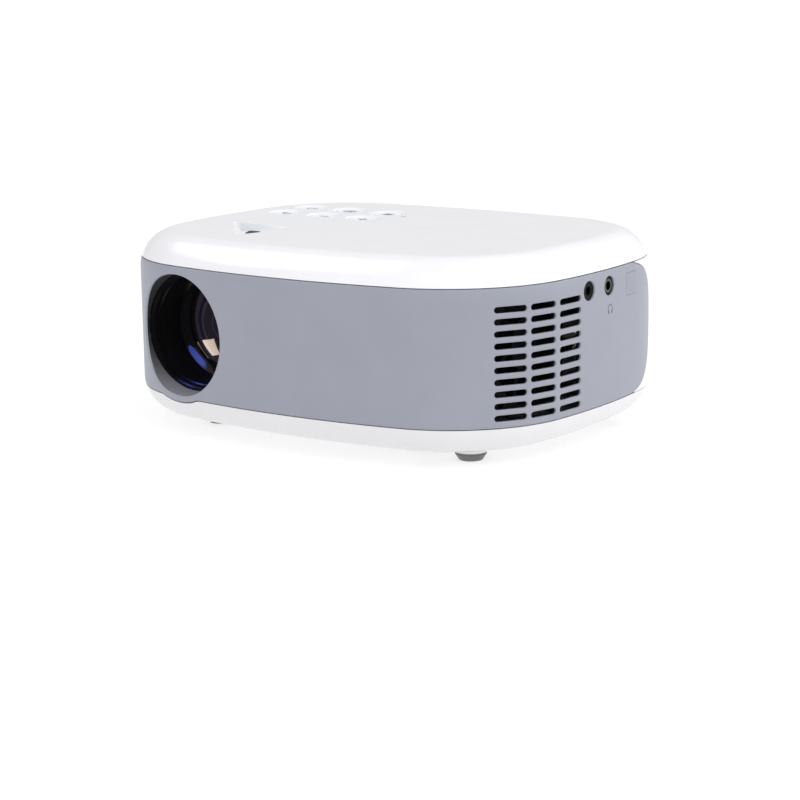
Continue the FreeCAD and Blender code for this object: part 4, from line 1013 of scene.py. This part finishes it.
def print_on(name, quads, place, body, thickness=0.03):
    """A printed mark: thin closed tiles that lie on a face."""
    build = Build()
    for quad in quads:
        low = build.add([place(point, 0.0) for point in quad])
        high = build.add([place(point, thickness) for point in quad])
        build.strip(low, high)
        build.faces += [tuple(reversed(low)), tuple(high)]
    return make(name, build, ("print_grey",), body=body)


MARK_SCALE = 1.3
for key_name, key_centre in KEYS.items():
    make_key(key_name, key_centre)
    print_on(f"{key_name}_key_mark", SYMBOLS[key_name],
             lambda point, lift, at=key_centre: (at.x + MARK_SCALE * point.x, at.y + MARK_SCALE * point.y,
                                                 key_height(MARK_SCALE * point.length) + lift),
             f"{key_name}_key")

HEADPHONE_MARK = (stroke(arc(1.55, 0, 180), 0.36) + stroke([(-1.55, 0), (-1.55, -1.9)], 0.36)
                  + stroke([(1.55, 0), (1.55, -1.9)], 0.36)
                  + stroke([(-1.15, -0.7), (-1.15, -2.0)], 0.62) + stroke([(1.15, -0.7), (1.15, -2.0)], 0.62))
MARK_U, MARK_Z = u_at_y(1, 5.3), 53.8


print_on("headphone_mark", HEADPHONE_MARK,
         lambda point, lift: hull(MARK_U + point.x, MARK_Z + point.y, -lift), "case")

# ---------------------------------------------------------------- stage, lights and camera
CAMERA_TURN, CAMERA_LIFT, CAMERA_ROLL = math.radians(35.4), math.radians(12.063), math.radians(-0.77)
CAMERA_REACH, LOOK_HEIGHT = 906.53, 35.0
CAMERA_SHIFT = Vector((2.4986, -27.28))
CAMERA_LENS = 98.61


def make_camera():
    back = Vector((math.sin(CAMERA_TURN) * math.cos(CAMERA_LIFT),
                   -math.cos(CAMERA_TURN) * math.cos(CAMERA_LIFT), math.sin(CAMERA_LIFT)))
    level = (-back).cross(Vector((0, 0, 1))).normalized()
    upward = level.cross(-back)
    right = level * math.cos(CAMERA_ROLL) + upward * math.sin(CAMERA_ROLL)
    up = upward * math.cos(CAMERA_ROLL) - level * math.sin(CAMERA_ROLL)
    place = back * CAMERA_REACH + Vector((0, 0, LOOK_HEIGHT))
    place = place + level * CAMERA_SHIFT.x + upward * CAMERA_SHIFT.y
    camera = bpy.data.objects.new("camera", bpy.data.cameras.new("camera"))
    camera.data.lens = CAMERA_LENS
    camera.data.sensor_width = 36.0
    camera.data.clip_start = 0.01
    camera.matrix_world = Matrix.Translation(place * MM) @ Matrix((right, up, back)).transposed().to_4x4()
    bpy.context.scene.collection.objects.link(camera)
    bpy.context.scene.camera = camera


def make_sun(name, towards, power, spread_angle):
    """A wide, soft, even light that comes from the given direction."""
    lamp = bpy.data.lights.new(name, "SUN")
    lamp.energy = power
    lamp.angle = math.radians(spread_angle)
    holder = bpy.data.objects.new(name, lamp)
    holder.matrix_world = Vector(towards).to_track_quat("Z", "Y").to_matrix().to_4x4()
    bpy.context.scene.collection.objects.link(holder)


def make_glint(name, place, target, long_way, size, power, colour, shape="RECTANGLE"):
    """A panel that shows only in glossy surfaces.  Places in millimetres, size in metres."""
    lamp = bpy.data.lights.new(name, "AREA")
    lamp.shape = shape
    lamp.size, lamp.size_y = size
    lamp.energy = power
    lamp.color = colour
    away = (Vector(place) - Vector(target)).normalized()
    across = (Vector(long_way) - away * away.dot(Vector(long_way))).normalized()
    holder = bpy.data.objects.new(name, lamp)
    holder.matrix_world = (Matrix.Translation(Vector(place) * MM)
                           @ Matrix((across, away.cross(across), away)).transposed().to_4x4())
    holder.visible_camera = False
    holder.visible_diffuse = False
    bpy.context.scene.collection.objects.link(holder)


def make_floor():
    build = Build()
    reach = 14000.0
    corner = build.add([(-reach, -reach, 0), (reach, -reach, 0), (reach, reach, 0), (-reach, reach, 0)])
    build.faces.append(tuple(corner))
    mesh = bpy.data.meshes.new("floor")
    mesh.from_pydata([point * MM for point in build.points], [], build.faces)
    table = finish_of("floor_white", (0.3, 0.3, 0.3), 0.8, 300, 0.02, contrast=0.004)
    glow = next(item for item in table.node_tree.nodes if item.type == "BSDF_PRINCIPLED")
    glow.inputs["Emission Color"].default_value = (1.0, 1.0, 1.0, 1.0)
    glow.inputs["Emission Strength"].default_value = 0.70
    mesh.materials.append(table)
    floor = bpy.data.objects.new("floor", mesh)
    bpy.context.scene.collection.objects.link(floor)


def make_world():
    world = bpy.data.worlds.new("studio")
    world.use_nodes = True
    sky = world.node_tree.nodes["Background"]
    sky.inputs["Color"].default_value = (1.0, 1.0, 1.0, 1.0)
    sky.inputs["Strength"].default_value = 0.68
    bpy.context.scene.world = world


make_camera()
make_floor()
make_world()
make_sun("side_panel", (0.86, 0.5, 1.0), 1.7, 90)
make_sun("front_panel", (0.2, -0.9, 0.5), 0.9, 90)
make_glint("rim_glint", (-620, -170, 850), (0, -75, 75), (0, 1, 0), (0.75, 0.5), 5.0, (1, 1, 1))
make_glint("cream_glint", (-64.6, -43.5, 29.1), (-63.8, -40.7, 29.9), (8.9, -3.2, 1.9),
           (0.0105, 0.0075), 0.001, (1.0, 0.86, 0.6))
make_glint("blue_glint", (-66.4, -44.8, 29.0), (-67.4, -46.5, 26.7), (5.7, 1.4, -6.8),
           (0.009, 0.0028), 0.0006, (0.12, 0.2, 1.0), "ELLIPSE")
bpy.context.scene.view_settings.view_transform = "Standard"
